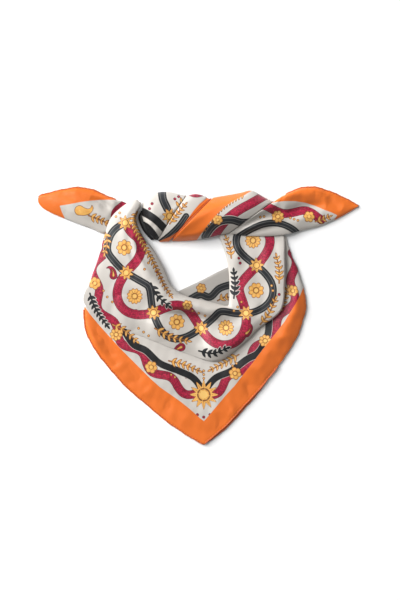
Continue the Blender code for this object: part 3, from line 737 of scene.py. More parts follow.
collar = dict(
    name="collarFold", node="collar_fold", slot="ivory_silk",
    outline=(
        (-96, 184, -100, 186), (-92, 176, -113, 181), (-100, 155, -139, 158), (-91, 131, -151, 126),
        (-72, 105, -160, 94), (-56, 76, -172, 60), (-45, 51, -183, 20), (-30, 36, -139, -13),
        (-12, 29, -80, -37), (7, 25, -20, -60), (26, 20, 32, -72), (44, 16, 76, -40), (48, 20, 95, -21),
        (49, 41, 132, 9), (48, 68, 138, 57), (43, 97, 138, 99), (36, 117, 137.5, 120),
        (30, 133.5, 134, 136.5),
    ),
    form=(
        (0, 11.6, 12, 12, 12, 12, 11, 10, 40, 0, 5), (1, 12.4, 13.4, 14, 14, 13, 11, 8, 40, 0, 5),
        (2, 12.2, 14, 15, 16, 14, 11, 8, 40, 0, 5), (3, 10.6, 14, 16.4, 17, 14, 10, 7, 40, 0, 5),
        (4, 8, 13, 17, 17, 13, 9, 5, 40, 0, 0), (5, 8, 15, 19, 15, 10.5, 6.6, 3.0, 40, 0, 0),
        (5.5, 8, 16, 19, 13, 9, 5.4, 3.1, 40, 0, 2.0), (6, 8, 18, 18, 11, 7.6, 4.6, 3.1, 40, 1, 2.96),
        (7, 9, 20, 15, 9, 6.8, 4.5, 3.1, 40, 3.4, 2.96), (8, 9, 21, 15, 8.8, 10.6, 7.6, 3.4, 40, 3.4, 3.0),
        (8.5, 9, 20, 14.4, 9, 12.2, 9.6, 4.2, 40, 3.4, 3.2),
        (9, 9, 19, 14, 9.2, 12.8, 10.6, 4.8, 40, 3.4, 3.6),
        (10, 9, 18, 13, 9, 13.5, 14.6, 6.6, 40, 3.4, 3.6),
        (11, 9, 14, 12, 10, 12.5, 13.6, 6.8, 40, 3.4, 3.6),
        (12, 8, 11, 12, 11, 12, 12.8, 7.4, 40, 3.4, 3.6), (13, 7, 9, 11, 11, 11, 13, 12, 40, 3.4, 3.6),
        (14, 6.5, 9, 10.5, 9.5, 10, 13, 12.6, 40, 3.4, 3.6),
        (15, 6.5, 9, 10, 8.5, 9.5, 11.8, 11.4, 40, 0, 3.6), (16, 6.2, 7, 7, 6.4, 6.8, 7.2, 6.4, 40, 0, 3.6),
        (17, 5, 5, 5, 5, 5, 5, 5, 40, 0, 3.6),
    ),
    folds=(
        (-62, 9, -18, 6, 38, -10, 3.2, 9, 3), (-104, 176, -100, 145, -84, 110, 2.6, 7, 10),
        (-84, 110, -72, 70, -50, 30, 2, 9, 12), (70, 130, 74, 90, 66, 45, -1.6, 8, 8),
        (104, 126, 108, 90, 100, 50, 1.4, 7, 9),
    ),
    ends=(0.5, 0.97), roundTop=3.2, seed=11, ripple=0.22, least=0.12, cut=(0.18, 0.46), share=0.57,
    held="folded", rests=["bib_front", "left_tail", "right_tail"],
    creases=(
        (-62, 34, -68, -2, -66, -44, 3.4, 26, 14), (-18, 22, 0, -18, 10, -70, -6.0, 9, 30),
        (-128, 34, -122, 6, -104, -24, 3.2, 20, 12), (-118, 172, -124, 150, -132, 126, -1.4, 5, 8),
        (-150, 120, -134, 96, -120, 66, 1.0, 7, 12), (-164, 74, -140, 44, -104, 16, -1.3, 8, 13),
        (-112, -2, -76, -14, -38, -22, 1.2, 6, 10), (-58, 40, -48, 22, -28, 8, 1.4, 4, 7),
        (-6, -46, 20, -54, 52, -46, 1.2, 7, 10), (58, 132, 64, 104, 58, 70, 1.2, 5, 9),
        (118, 126, 124, 96, 122, 56, -1.0, 5, 7), (-64, 14, -16, 6, 36, -10, -4.6, 2.6, 9),
        (-66, 20, -18, 13, 38, -3, 2.4, 8, 2.4), (-106, 132, -97, 98, -74, 58, 2.2, 4, 7),
        (-114, 126, -106, 94, -86, 54, -1.6, 5, 4), (-80, 96, -66, 66, -44, 34, -1.2, 6, 6),
        (96, 24, 82, 0, 56, -26, 1.8, 6, 12), (120, 16, 104, -6, 84, -26, -1.2, 6, 8),
        (76, 118, 84, 80, 82, 40, 1.0, 8, 12), (104, -12, 80, -34, 42, -58, 1.4, 5, 7),
    ),
    print=overFold + (
        ("garland", neckLine, 27, 160, 0.0, 12.5, 12.5),
        ("spray", "gold", 8, ((-98, 166), (-104, 150), (-97, 130), (-82, 103), (-67, 74), (-56, 50),
                              (-44, 32))),
        ("flower", -18, 17, 8, 6, 0.2), ("spray", "gold", 10, ((-150, 136), (-146, 118), (-150, 100))),
        ("spray", "charcoal", 10, ((-76, 52), (-66, 32), (-48, 16))),
        ("spray", "gold", 11, ((-70, -20), (-44, -34), (-18, -40))),
        ("spray", "charcoal", 10, ((0, -56), (22, -60), (44, -52))),
        ("spray", "gold", 10, ((98, -14), (112, 4), (122, 26))),
        ("spray", "charcoal", 10, ((56, 28), (58, 50), (56, 70))),
        ("spray", "gold", 10, ((128, 52), (128, 74), (124, 94))),
        ("spray", "gold", 9, ((52, 92), (50, 108), (44, 124))), ("paisley", "crimson", -28, -50, 14, 3.4),
        ("paisley", "crimson", 76, -28, 13, 0.5), ("paisley", "crimson", -136, 64, 13, 1.4),
        ("dots", "gold", 1.8, ((-74, 92), (-80, 84), (-86, 74), (-10, 8), (0, 4), (10, 0), (56, 8),
                               (62, 14), (68, 22), (118, 40), (116, 48), (-132, 158), (-126, 164))),
        ("dots", "crimson", 2.0, ((-86, 116), (-92, 108), (-66, 70), (-60, 60), (-24, 14), (-34, 20),
                                  (66, 84), (64, 92), (128, 34), (-92, 0), (-100, 8))),
    ),
)
makeCloth(collar)

bib = dict(
    name="bibFront", node="bib_front", slot="orange_silk",
    outline=(
        (-178, 17, -184.5, 12), (-163, -2, -183.5, -14), (-139, -13, -174, -42), (-110, -24, -153, -73),
        (-80, -37, -120, -111), (-49, -49, -78, -148), (-20, -60, -33, -183), (7, -68, 8, -207),
        (32, -72, 42, -178), (55, -60, 77, -141), (76, -40, 108, -106), (95, -21, 135, -71),
        (114, -5, 157, -34), (132, 9, 168, -4), (136, 28, 172, 20), (138, 57, 166, 49), (138, 80, 158, 75),
        (138, 99, 149, 96), (138, 115, 143, 113), (136, 128, 140, 126),
    ),
    form=(
        (0, 2.9, 2.9, 2.9, 2.9, 2.9, 2.6, 2, 1.3, 1.6, 0.2),
        (2, 2.9, 3, 3.6, 4.4, 4.6, 3.4, 1.9, 1.3, 1.6, 0.2),
        (4, 2.9, 3, 3.8, 5.2, 5, 3.2, 1.9, 1.3, 1.6, 0.2),
        (5, 2.9, 3, 4, 5.2, 4.8, 3.2, 1.9, 1.3, 1.6, 0.2), (6, 2.9, 3, 4.2, 5, 4.4, 3.6, 3, 1.3, 1.6, 1.6),
        (8, 2.9, 3, 4.4, 5.2, 4.6, 4, 3.4, 1.3, 1.6, 2), (10, 2.9, 3, 4.2, 6, 6.8, 4.8, 3.3, 1.3, 1.6, 2),
        (11, 2.9, 3, 4.2, 6.2, 8, 5.6, 3.3, 1.3, 1.6, 1.6),
        (12, 2.9, 3, 4.4, 6.6, 8.6, 5.8, 3.2, 1.3, 1.6, 0.4),
        (14, 2.9, 3, 4.6, 7, 9, 6.2, 3.4, 1.6, 1.6, 0.3), (16, 2.9, 2.9, 3, 3.6, 5, 5, 4, 2, 1.6, 0.3),
        (17, 2.9, 2.9, 2.9, 3, 3.4, 3.8, 3.4, 2.2, 1.6, 0.3),
        (18, 2.9, 2.9, 2.9, 2.9, 2.9, 3, 3, 2.2, 1.6, 0.3),
        (19, 2.9, 2.9, 2.9, 2.9, 2.9, 2.9, 2.8, 2.2, 1.6, 0.3),
    ),
    folds=(
        (-150, -24, -140, -52, -132, -88, -1.2, 8, 12), (60, -86, 76, -104, 100, -122, -1.6, 9, 9),
        (-60, -70, -40, -110, 0, -150, 1, 14, 20), (96, -60, 112, -50, 140, -52, -1, 8, 8),
    ),
    corners=(7,), tuck=6.5, bed=1.6, ends=(0.8, 0.9), inset=((0, 2.0), (10.7, 2.0), (11.4, 0), (19, 0)),
    wander=0.32, seed=23, ripple=0.30, cut=(0.20, 0.50), share=0.40, held="laid", rests=["bib_back"],
    border=bibGround,
    creases=(
        (-96, -52, -42, -76, 16, -88, 1.8, 9, 15), (-180, -6, -164, -44, -134, -82, 1.6, 5, 5),
        (-166, -8, -146, -42, -112, -76, -2.4, 6, 9), (-120, -52, -108, -80, -86, -118, -1.0, 7, 11),
        (-90, -60, -70, -96, -40, -128, 0.9, 8, 10), (-40, -84, -24, -116, 0, -160, -0.9, 9, 9),
        (20, -96, 30, -130, 26, -168, 0.9, 7, 9), (60, -76, 84, -84, 118, -74, 0.8, 6, 8),
        (112, -28, 128, -36, 152, -28, 0.8, 5, 7), (150, 30, 152, 50, 150, 76, -1.0, 5, 6),
        (-186, -4, -172, -12, -160, -14, -0.7, 5, 7), (-176, -40, -160, -40, -146, -34, 0.8, 6, 8),
        (-164, -58, -146, -60, -130, -52, -0.9, 6, 8), (-140, -88, -128, -82, -112, -72, 0.7, 5, 8),
        (-120, -108, -104, -104, -92, -92, -0.8, 6, 7), (-96, -132, -84, -122, -70, -112, 0.7, 5, 8),
        (-60, -160, -52, -146, -44, -130, -0.9, 5, 8), (-30, -184, -22, -166, -16, -152, 0.7, 6, 7),
        (30, -188, 34, -170, 28, -154, -0.9, 5, 7), (56, -164, 54, -146, 46, -132, 0.8, 5, 6),
        (84, -134, 80, -118, 70, -108, -1.0, 5, 7), (108, -106, 102, -92, 92, -82, 0.8, 5, 7),
        (130, -78, 122, -66, 112, -58, -0.9, 5, 6), (150, -46, 142, -36, 132, -28, 0.8, 5, 7),
        (166, -12, 156, -6, 146, 0, -0.8, 5, 6),
    ),
    print=overFold + (
        ("ribbon", "crimson", 13, waving(vineRight, 6, 64, 3.0)),
        ("ribbon", "ink", 11, ((8, -122), (26, -100), (52, -88), (76, -70), (96, -58), (110, -30),
                               (112, -4))),
        ("spray", "gold", 10, ((-48, -72), (-24, -78), (0, -88))),
        ("spray", "gold", 10, ((64, -62), (44, -74), (20, -86))),
        ("spray", "gold", 9, ((124, 4), (136, 24), (142, 44))), ("star", 8, -126, 24, 12, 0.0),
        ("flower", 8, -126, 13, 8, 0.2), ("flower", 58, -92, 10, 6, 0.3), ("flower", 106, -40, 10, 8, 0.6),
        ("flower", 150, 40, 9, 6, 0.2),
        ("dots", "gold", 1.8, ((8, -100), (8, -94), (8, -88), (-44, -94), (-38, -98), (60, -76),
                               (54, -80))),
        ("dots", "crimson", 2.0, ((-2, -158), (8, -162), (18, -158), (-20, -98), (36, -98), (120, -12),
                                  (126, -4))),
    ),
)
makeCloth(bib)

bibBack = dict(
    bib, name="bibBack", node="bib_back", outline=bib["outline"][:14], bed=0.0, ends=(0.9, 0.9),
    form=(
        (0, 1.3, 1.3, 1.3, 1.3, 1.3, 1.3, 1.3, 1.3, 0, 0),
        (19, 1.3, 1.3, 1.3, 1.3, 1.3, 1.3, 1.3, 1.3, 0, 0),
    ),
    folds=(), creases=(), seed=31, ripple=0.0, cut=(0.16, 0.42), share=0.44, rests=(),
    inset=(
        (0, 28), (5, 27), (6, 12), (7, 0.6), (8, -1.0), (9, -0.8), (9.7, 0.6), (10.3, 2.4), (11, 5),
        (12, 27), (13, 28),
    ),
)
makeCloth(bibBack)

nape = dict(
    name="napePanel", node="nape_panel", slot="shaded_silk",
    outline=(
        (-37, 37, -33, 39), (-13, 20, -14, 48), (7, 14, 7, 58), (36, 12, 28, 69), (55, 14, 55, 81.5),
    ),
    form=(
        (0, 1.6, 1.6, 1.6, 1.6, 1.6, 1.6, 1.6, 1.5, 0, 0), (2, 2.8, 2.8, 2.8, 3.2, 3, 2.4, 1.9, 1.5, 0, 0),
        (4, 2.4, 2.4, 2.4, 2.4, 2.4, 2.2, 1.9, 1.5, 0, 0),
    ),
    ends=(0.9, 0.9), seed=41, ripple=0.12, cut=(0.095, 0.06), share=0.70, held="folded", rests=(),
    print=(
        ("ribbon", "charcoal", 11, ((-14, 26), (2, 34), (18, 30), (34, 44), (60, 52))),
        ("flower", 4, 44, 8, 6, 0.2), ("spray", "gold", 9, ((30, 24), (42, 30), (54, 28))),
    ),
)
makeCloth(nape)

tuck = dict(
    name="tuckFold", node="tuck_fold", slot="shaded_silk",
    outline=(
        (-92.4, 168, -88, 167), (-96.5, 156, -82, 153), (-90, 138, -76, 141), (-82, 127, -70, 130),
        (-76, 121, -66, 123),
    ),
    form=(
        (0, 3, 3.4, 3.8, 4, 3.8, 3.6, 3.4, 20, 0, 0), (2, 3.4, 4.2, 4.6, 4.8, 4.8, 4.4, 4, 20, 0, 0),
        (4, 2.4, 2.6, 2.8, 3, 2.8, 2.6, 2.4, 20, 0, 0),
    ),
    ends=(0.8, 0.8), seed=43, ripple=0.1, cut=(0.05, 0.022), share=0.65, held="folded", rests=(),
    # a black band wider than the fold: part print, part painted shade of the hollow under the flap
    print=(("ribbon", "ink", 30, ((-104, 168), (-90, 150), (-76, 132), (-66, 118))),),
)
makeCloth(tuck)

puff = dict(
    name="backPuff", node="back_puff", slot="ivory_silk",
    outline=(
        (-91, 160, -89.4, 180), (-87, 148, -82, 188.4), (-81, 136, -70, 196), (-73, 124, -49, 198),
        (-66, 120.6, -20, 192),
    ),
    form=(
        (0, 6, 6.4, 7, 8, 8, 8, 6, 40, 5.4, 0), (0.5, 6.4, 7.4, 9, 12, 13, 11, 6, 40, 5.4, 0),
        (1, 7.4, 9.6, 13, 17, 19, 15, 6, 40, 5.4, 0), (2, 9, 15, 21, 24, 23, 16, 5, 40, 5.4, 0),
        (3, 9, 16, 22, 25, 24, 16, 5, 40, 5.4, 0), (4, 5, 11, 17, 21, 22, 16, 5, 40, 3.4, 0),
    ),
    folds=((-82, 132, -60, 152, -22, 172, -1.8, 4, 9), (-66, 182, -52, 176, -36, 174, -1.2, 6, 6)),
    ends=(0.6, 0.93), seed=47, ripple=0.2, cut=(0.07, 0.08), share=0.84, held="gathered",
    rests=["tuck_fold"],
    creases=((-80, 166, -62, 178, -44, 182, 0.9, 5, 7), (-74, 140, -50, 158, -28, 178, 0.9, 4, 6)),
    print=(
        ("ribbon", "charcoal", 12, ((-60, 208), (-57, 186), (-50, 170))), ("star", -46, 158, 13, 8, 0.3),
        ("spray", "gold", 10, ((-34, 168), (-28, 180), (-18, 188))),
        # two black bands: print that also darkens the hollow under the flap, partly painted shade
        ("ribbon", "ink", 12, ((-98, 170), (-86, 164), (-68, 152), (-52, 136))),
        ("ribbon", "ink", 13, ((-98, 148), (-84, 141), (-73, 129), (-66, 116))),
        ("dots", "crimson", 2.0, ((-74, 178), (-78, 170), (-80, 162), (-32, 190), (-38, 186))),
    ),
)
makeCloth(puff)

turn = dict(
    name="backTurn", node="back_turn", slot="ivory_silk",
    outline=(
        (-65.5, 120.2, -19.5, 191.6), (-63, 118.4, -4, 194.6), (-59.5, 118.2, 11, 190.4),
        (-53, 118.4, 13.6, 188.2), (-47.4, 118.9, 17.6, 187.2),
    ),
    form=(
        (0, 4, 10, 16, 21, 23, 17, 5, 40, 0, 0), (2, 4, 11, 18, 23, 24, 17, 5, 40, 0, 0),
        (4, 4, 11, 18, 23.5, 23.5, 16.5, 5, 40, 0, 0),
    ),
    ends=(0.93, 0.97), seed=53, ripple=0.1, cut=(0.09, 0.047), share=0.95, held="gathered",
    rests=["back_puff"],
    border=(
        (20, 215), (20, 196), (11.6, 186.8), (2, 178.8), (-7.6, 167.6), (-15.6, 156.4), (-23.6, 145.2),
        (-33.2, 134), (-46, 126), (-62, 119.6), (-72, 112), (-150, 112), (-150, 260), (20, 260),
    ),
    print=(
        ("ribbon", "crimson", 12, ((-20, 202), (-6, 195), (8, 198))),
        ("ribbon", "charcoal", 9, ((-62, 116), (-44, 130), (-30, 144), (-20, 158))),
        ("spray", "gold", 9, ((-46, 146), (-34, 162), (-22, 176))),
    ),
)
makeCloth(turn)

wrap = dict(
    name="backWrap", node="back_wrap", slot="orange_silk",
    outline=(
        (-43, 119.2, 23.4, 189), (-24, 119.4, 44, 192.4), (-4, 121, 66, 196.4), (18, 125, 85, 200),
        (36, 129.6, 104, 189.6), (48, 131.6, 119, 182.6),
    ),
    form=(
        (0, 4, 13, 21, 26, 26, 18, 5, 40, 0, 0), (1, 4, 15, 22, 27, 27, 19, 5, 40, 0, 0),
        (2, 5, 16, 23, 27, 27, 22, 6, 40, 0, 0), (3, 8, 15, 22, 25.6, 26, 22, 8, 40, 5.6, 0),
        (4, 9.5, 15, 21.6, 25.6, 25.8, 21.4, 8, 40, 6.5, 0),
        (5, 10, 14, 19, 22.6, 22.6, 17.8, 7, 40, 6.5, 0),
    ),
    folds=((-30, 128, 8, 152, 60, 190, -0.9, 5, 8), (22, 134, 52, 156, 96, 186, 1.4, 8, 6)),
    ends=(0.97, 0.9), seed=59, ripple=0.15, cut=(0.115, 0.10), share=0.80, held="gathered",
    rests=["back_turn", "collar_fold"],
    border=(
        (100, 215), (85.2, 199.6), (66, 188.4), (50, 179.6), (37.2, 169.2), (26, 158), (14.8, 145.2),
        (6.8, 134), (-2.8, 121.2), (-8, 108), (140, 108), (180, 260), (110, 260),
    ),
    creases=((-10, 126, 30, 150, 72, 178, 0.8, 5, 7), (36, 138, 66, 150, 104, 172, -0.8, 5, 7)),
    print=(
        ("ribbon", "crimson", 14, ((112, 196), (86, 180), (68, 170), (53, 160), (40, 148), (28, 132),
                                   (20, 112))),
        ("ribbon", "charcoal", 11, ((10, 126), (20, 140), (34, 150), (52, 152), (70, 148), (92, 152),
                                    (120, 168))),
        ("spray", "gold", 7, ((74, 194), (58, 186), (43, 176), (30, 164), (18, 150), (8, 136))),
        ("spray", "gold", 9, ((56, 136), (70, 136), (84, 142))), ("flower", 30, 152, 8, 6, 0.2),
    ),
)
makeCloth(wrap)

tailVine = ((84, 170), (110, 168), (136, 170), (164, 162), (196, 158))
rightTail = dict(
    name="rightTail", node="right_tail", slot="orange_silk",
    outline=(
        (48.5, 131.1, 119.5, 182.1), (79, 127.6, 133, 191), (111, 126.8, 149, 200), (140, 130, 167, 206),
        (165, 136, 186, 206.6), (191, 142, 207, 201), (215, 152, 226, 193), (236, 163, 242, 185),
        (254, 174, 257, 177),
    ),
    form=(
        (0, 8.8, 12, 16.2, 19.6, 20, 15.4, 6, 40, 6.5, 0),
        (1, 9.2, 13, 15.8, 17.6, 16.8, 12.2, 4.8, 26, 6.5, 0),
        (2, 9.2, 12, 13.4, 13, 12.4, 9.4, 4.2, 14, 6.5, 0),
        (3, 8.6, 9.6, 9.8, 9.2, 8.6, 6.5, 3.8, 7, 6.3, 0), (4, 4.6, 7, 7.5, 7.5, 7.5, 5.8, 3.4, 4.5, 1, 0),
        (5, 3.4, 5.4, 6.5, 6.8, 6.6, 5.2, 3.2, 3.2, 0, 0), (6, 3, 4.6, 5.6, 6, 5.6, 4.4, 3, 2.6, 0, 0),
        (7, 2.7, 3.4, 4, 4.2, 4, 3.2, 2.7, 2.6, 0, 0), (8, 2.4, 2.4, 2.5, 2.6, 2.5, 2.4, 2.4, 2.4, 0, 0),
    ),
    folds=(
        (104, 182, 142, 194, 188, 195, 5.4, 9, 8), (138, 164, 166, 173, 204, 177, -6.0, 8, 7),
        (140, 146, 168, 155, 204, 160, 2.6, 8, 8),
    ),
    ends=(0.95, 0.7), inset=((0, 0), (1.0, 0), (1.4, 2.0), (8, 2.0)), wander=0.3, seed=61, ripple=0.28,
    cut=(0.07, 0.20), share=0.70, held="laid", rests=["collar_fold"],
    border=(
        (96, 170), (110, 178), (122, 181.2), (138, 182.8), (154, 182.8), (170, 180.4), (186, 175.6),
        (202, 168.4), (213.2, 164.4), (221.2, 160.4), (216.4, 153.2), (208, 138), (200, 110), (30, 100),
        (30, 150),
    ),
    creases=(
        (58, 144, 90, 162, 124, 176, 3.4, 5, 4), (70, 140, 100, 157, 138, 167, -3.6, 4, 5),
        (64, 133, 98, 147, 136, 155, 3.2, 4, 5), (66, 127, 96, 136, 128, 142, -2.6, 4, 5),
        (206, 192, 216, 178, 230, 172, -1.8, 7, 7), (176, 204, 190, 198, 206, 186, 1.2, 5, 6),
    ),
    print=(
        ("ribbon", "charcoal", 10, ((58, 122), (80, 136), (104, 146), (128, 147), (150, 138), (166, 122))),
        ("ribbon", "crimson", 13, waving(tailVine, 7, 70, 0.0)),
        ("flower", 126, 158, 10, 8, 0.3), ("flower", 176, 158, 9, 6, 0.1),
        ("spray", "gold", 9, ((186, 150), (198, 154), (208, 158))),
        ("dots", "gold", 1.8, ((146, 156), (152, 154), (158, 152), (104, 158), (98, 157))),
    ),
)
makeCloth(rightTail)

leftTail = dict(
    name="leftTail", node="left_tail", slot="orange_silk",
    outline=(
        (-143, 136, -110, 177), (-154, 132, -123, 183.5), (-171, 139, -145, 192), (-193, 147, -171, 203),
        (-216, 156, -193, 206), (-235, 164, -216, 203), (-249, 172, -236, 198), (-256, 180, -252, 194),
        (-257, 187, -257, 190),
    ),
    form=(
        (0, 3.6, 4, 4.2, 4.2, 4.2, 4, 3.6, 4.2, 0, 0), (1, 3.4, 4, 4.3, 4.4, 4.3, 4, 3.4, 3.6, 0, 0),
        (2, 3, 4.4, 5.6, 6.2, 6, 4.8, 3.2, 2.6, 0, 0), (3, 2.8, 4.6, 6.4, 7.4, 7.2, 5.6, 3, 2.6, 0, 0),
        (4, 2.8, 4.2, 5.8, 6.8, 6.8, 5.4, 3, 2.6, 0, 0), (5, 2.8, 3.8, 4.8, 5.6, 5.8, 4.6, 2.9, 2.6, 0, 0),
        (6, 2.7, 3.2, 3.8, 4.2, 4.2, 3.6, 2.8, 2.6, 0, 0), (7, 2.6, 2.8, 3, 3.2, 3.2, 3, 2.6, 2.6, 0, 0),
        (8, 2.5, 2.5, 2.6, 2.6, 2.6, 2.5, 2.5, 2.5, 0, 0),
    ),
    folds=(
        (-158, 180, -148, 172, -136, 162, -1.4, 4, 6), (-232, 184, -205, 176, -172, 166, 0.9, 8, 10),
    ),
    ends=(0.9, 0.7), inset=((0, 0), (1.0, 0), (1.4, 2.0), (8, 2.0)), wander=0.3, seed=67, ripple=0.28,
    cut=(0.065, 0.15), share=0.70, held="laid", rests=(),
    border=(
        (-100, 184), (-114.8, 183.6), (-129.2, 185.2), (-158, 185.2), (-174, 183.6), (-190, 181.2),
        (-206, 178), (-222, 175.6), (-218.8, 166), (-214, 155.6), (-208, 140), (-200, 110), (-90, 110),
        (-90, 184),
    ),
    creases=(
        (-174, 190, -150, 179, -126, 160, -3.4, 3.4, 7), (-166, 196, -144, 186, -120, 168, 2.2, 5, 4),
        (-178, 172, -158, 162, -136, 150, 2.0, 5, 6), (-224, 196, -206, 188, -190, 190, -0.9, 5, 6),
        (-212, 168, -186, 162, -160, 146, 1.2, 6, 8), (-132, 190, -138, 172, -152, 150, 1.6, 5, 8),
        (-118, 182, -126, 168, -138, 152, -1.6, 4, 7), (-200, 204, -196, 190, -204, 174, 0.9, 6, 8),
        (-176, 190, -166, 176, -168, 158, -0.8, 7, 8),
    ),
    print=(
        ("paisley", "gold", -190, 168, 17, -0.5),
        ("spray", "gold", 10, ((-176, 160), (-160, 154), (-146, 148))),
        ("ribbon", "crimson", 11, ((-120, 178), (-134, 164), (-132, 146))),
    ),
)
makeCloth(leftTail)

# Rolled hems: a thin cord along each raw edge, a little pinched at every stitch.
stitch = dict(
    every=5, long=2.6, thick=0.42, sides=6, rings=5,
    seed=77, skip=4,                                # none on the first and last 4 mm of a hem
    tilt=0.35, tiltVaries=0.12,
    startIn=0.15, shorter=0.6,
    high=0.54, drop=0.34, dropPower=1.5,            # from the top of the roll down to the cloth
    endThick=0.35, endPlace=0.08, flat=0.7,
)
hemLine = dict(
    width=2.2, height=1.7, sides=12, spacing=0.8,
    lift=1.0,                                       # middle of the roll over the underside of its cloth
    perRow=60, startIn=0.9, endIn=2.6,              # an edge may draw in towards its ends
    pinch=0.13, pinchPower=6,
    sway=((0.10, 9.0), (0.06, 3.7)), swayShare=0.6, swell=(0.05, 6.1),
    endSize=0.55, endRound=2.0,
    firstSeed=5, leastSteps=4, middleOfEvery=50,
)
halfHem = hemLine["width"] / 2


def edgePath(piece, first, last, inward=halfHem, lift=hemLine["lift"], tucks=(0.0, 0.0)):
    stations = np.linspace(first, last, int((last - first) * hemLine["perRow"]))
    edges = outlineAt(piece["outline"], stations, piece.get("corners", ()))
    way = edges[:, 2:4] - edges[:, 0:2]
    way /= np.linalg.norm(way, axis=1)[:, None]
    form = np.asarray(piece["form"], float)
    under = through(form[:, 0], form[:, 10], stations)
    left = np.clip((last - stations) / hemLine["endIn"], 0, 1)
    out = wander(piece, stations) - inward + tucks[0] * (turnDown(stations - first, hemLine["startIn"]) - 1)
    out += tucks[1] * (left * left * (3 - 2 * left) - 1)
    return np.column_stack([edges[:, 2:4] + way * out[:, None], under + lift])


def evenly(path, spacing):
    run = runAlong(path)
    at = np.linspace(0, run[-1], max(int(run[-1] / spacing), hemLine["leastSteps"]) + 1)
    return pointsAt(at, run, path), at


def makeHem(name, node, path, seed):
    path, at = evenly(path, hemLine["spacing"] * (1))
    phase = np.random.RandomState(seed).uniform(0, 6.28, 3)
    ahead = np.gradient(path, axis=0)
    side = np.column_stack([ahead[:, 1], -ahead[:, 0], np.zeros(len(path))])
    side /= np.linalg.norm(side, axis=1)[:, None]
    sway = sum(reach * np.sin(at / length + turn) for (reach, length), turn in zip(hemLine["sway"], phase))
    size = 1 - hemLine["pinch"] * np.cos(at * 2 * math.pi / stitch["every"]) ** hemLine["pinchPower"]
    swell, length = hemLine["swell"]
    size *= 1 + swell * np.sin(at / length + phase[2])
    ends = np.minimum(at, at[-1] - at)
    size *= hemLine["endSize"] + (1 - hemLine["endSize"]) * turnDown(ends, hemLine["endRound"])
    rings = []
    for k in range(hemLine["sides"]):
        angle = 2 * math.pi * k / hemLine["sides"]
        out = hemLine["width"] / 2 * math.cos(angle) * size + sway * hemLine["swayShare"]
        ring = path + side * out[:, None]
        ring[:, 2] += hemLine["height"] / 2 * math.sin(angle) * size
        rings.append(ring)
    points = np.stack(rings, axis=1).reshape(-1, 3)
    points[:, 2] = np.maximum(points[:, 2], 0.0)
    made = makeObject(name, points, outwards(points, tubeFaces(len(path), hemLine["sides"])))
    made.data.materials.append(hemSilk)
    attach(made, "root")
    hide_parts(node)
    return made, path


# The lip of the wrap follows the first row of its cloth, a little behind it and lower.
lip = dict(skip=0.1, leastSkip=2, behind=0.3, lower=0.7)
wrapFirst, wrapSecond = cloths["backWrap"]["upper"][:2]
acrossRow = wrapFirst[-1, 0:2] - wrapFirst[0, 0:2]
backWay = np.array([-acrossRow[1], acrossRow[0]]) / np.linalg.norm(acrossRow)
skip = max(int(len(wrapFirst) * lip["skip"]), lip["leastSkip"])
lipPath = wrapSecond[skip:-skip + 1].copy()
lipPath[:, 0:2] = wrapFirst[skip:-skip + 1, 0:2] + backWay * (lip["behind"] + halfHem)
lipPath[:, 2] -= hemLine["height"] * lip["lower"]
hemPaths = (
    ("hemBibLeft", "hem_bib_left", edgePath(bib, 0.1, 6.97), "bibFront"),
    ("hemBibRight", "hem_bib_right", edgePath(bib, 7.03, 10.7), "bibFront"),
    ("hemBackRight", "hem_back_right", edgePath(bibBack, 7.1, 11.3, -2.2, 0.95, (3.8, 5.5)), "bibBack"),
    ("hemRightTail", "hem_right_tail", edgePath(rightTail, 1.45, 7.93, tucks=(0.4, 0.2)), "rightTail"),
    ("hemLeftTail", "hem_left_tail", edgePath(leftTail, 1.45, 7.93, tucks=(0.4, 0.2)), "leftTail"),
    ("hemBackWrap", "hem_back_wrap", lipPath, "backWrap"),
)
hems = {name: [] for name in cloths}
stitchedPaths = []
for seed, (name, node, path, cloth) in enumerate(hemPaths, hemLine["firstSeed"]):
    hem, path = makeHem(name, node, path, seed)
    hems[cloth].append(hem)
    corners = cloths[cloth]["made"].data.vertices
    sample = range(0, len(corners), hemLine["middleOfEvery"])
    middle = np.mean([corners[k].co for k in sample], axis=0) / mm + footMiddle
    stitchedPaths.append((path, middle[:2]))
print("hems made")


def makeStitches():
    # short slanting stitches that catch the roll to the cloth
    points, faces = [], []
    draw = np.random.RandomState(stitch["seed"])
    tube = tubeFaces(stitch["rings"], stitch["sides"])
    for path, towards in stitchedPaths:
        line, _ = evenly(path, 1.0)
        for k in range(stitch["skip"], len(line) - stitch["skip"], stitch["every"]):
            ahead = line[k + 1] - line[k - 1]
            ahead /= np.linalg.norm(ahead)
            inwards = np.array([-ahead[1], ahead[0], 0.0])
            if inwards[:2] @ (towards - line[k, :2]) < 0:
                inwards = -inwards
            tilt = stitch["tilt"] + stitch["tiltVaries"] * draw.standard_normal()
            around = []
            for u in np.linspace(0, 1, stitch["rings"]):
                middle = (line[k] + inwards * (stitch["startIn"] + u * (stitch["long"] - stitch["shorter"]))
                          + ahead * (u - 0.5) * tilt * 2)
                middle[2] += hemLine["height"] * (stitch["high"] - stitch["drop"] * u ** stitch["dropPower"])
                place = min(max(u, stitch["endPlace"]), 1 - stitch["endPlace"])
                swell = stitch["endThick"] + (1 - stitch["endThick"]) * math.sin(math.pi * place)
                thick = stitch["thick"] * swell
                for angle in 2 * math.pi * np.arange(stitch["sides"]) / stitch["sides"]:
                    around.append(middle + ahead * (thick * math.cos(angle)))
                    around[-1][2] += thick * stitch["flat"] * math.sin(angle)
            # each stitch is turned by its own volume
            start = len(points)
            faces += [[start + k for k in face] for face in outwards(np.array(around) - middle, tube)]
            points += around
    made = makeObject("hemStitches", points, faces)
    made.data.materials.append(hemThread)
    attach(made, "root")
    print(f"hemStitches: {len(faces)} faces")
    return made


hems["bibFront"].append(makeStitches())
for name, cloth in cloths.items():
    piece, made = cloth["piece"], cloth["made"]
    width, length = piece["cut"]
    piece["share"] * width * length

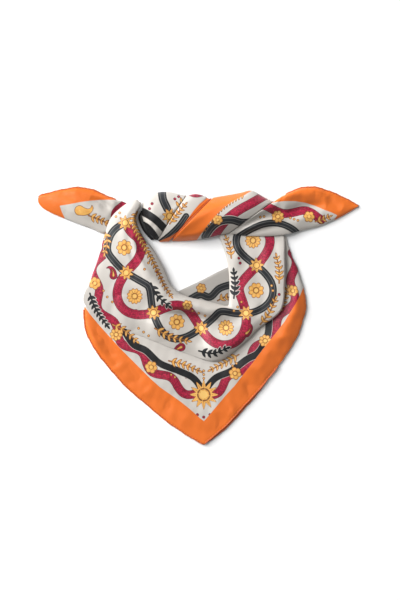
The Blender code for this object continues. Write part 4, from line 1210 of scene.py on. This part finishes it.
# Floor, light and camera.
studio = dict(
    floorSize=12.0, floorDown=0.0006, floorTone=0.84, floorDark=0.99, floorGrain=3.0, floorRoughness=0.9,
    world=0.27,                         # strength of the white light from all round
    cameraAt=(0.0025, 0.0244, 2.6), sensor=36, lens=97.5, cameraFar=50,
)
lamps = dict(
    keyLamp=dict(power=700.0, size=4.6, at=(-4.85, 3.2, 4.8)),
    rakeLamp=dict(power=540.0, size=3.0, at=(-5.1, 3.35, 1.9), shines=False),       # it only shades the folds
    fillLamp=dict(power=5.0, size=2.4, at=(1.6, -1.0, 2.0)),
)
bpy.ops.mesh.primitive_plane_add(size=studio["floorSize"], location=(0, 0, -studio["floorDown"]))
floor = bpy.context.active_object
floor.name = "floorSheet"
bpy.ops.object.transform_apply(location=True, rotation=True, scale=True)
bench = Bench("paleFloor")
tones = [(studio["floorTone"] * share,) * 3 for share in (1.0, studio["floorDark"])]
floor.data.materials.append(bench.finish(
    Base_Color=bench.mix(bench.noise(studio["floorGrain"]), *tones), Roughness=studio["floorRoughness"]))

for name, lamp in lamps.items():
    bpy.ops.object.light_add(type="AREA", location=lamp["at"])
    made = bpy.context.active_object
    made.name = name
    made.data.energy, made.data.size = lamp["power"], lamp["size"]
    made.rotation_euler = (-Vector(lamp["at"])).to_track_quat("-Z", "Y").to_euler()
    made.visible_glossy = lamp.get("shines", True)
world = bpy.context.scene.world or bpy.data.worlds.new("studioWorld")
bpy.context.scene.world = world
world.use_nodes = True
background = world.node_tree.nodes["Background"].inputs
background["Color"].default_value = (1, 1, 1, 1)
background["Strength"].default_value = studio["world"]
bpy.context.scene.view_settings.view_transform = "Standard"

bpy.ops.object.camera_add(location=studio["cameraAt"], rotation=(0, 0, 0))
camera = bpy.context.active_object
camera.name = "plumbCamera"
camera.data.sensor_fit = "VERTICAL"
camera.data.sensor_width = camera.data.sensor_height = studio["sensor"]
camera.data.lens = studio["lens"]
camera.data.clip_end = studio["cameraFar"]
bpy.context.scene.camera = camera
print("floor, lamps and camera made")

print("size written")
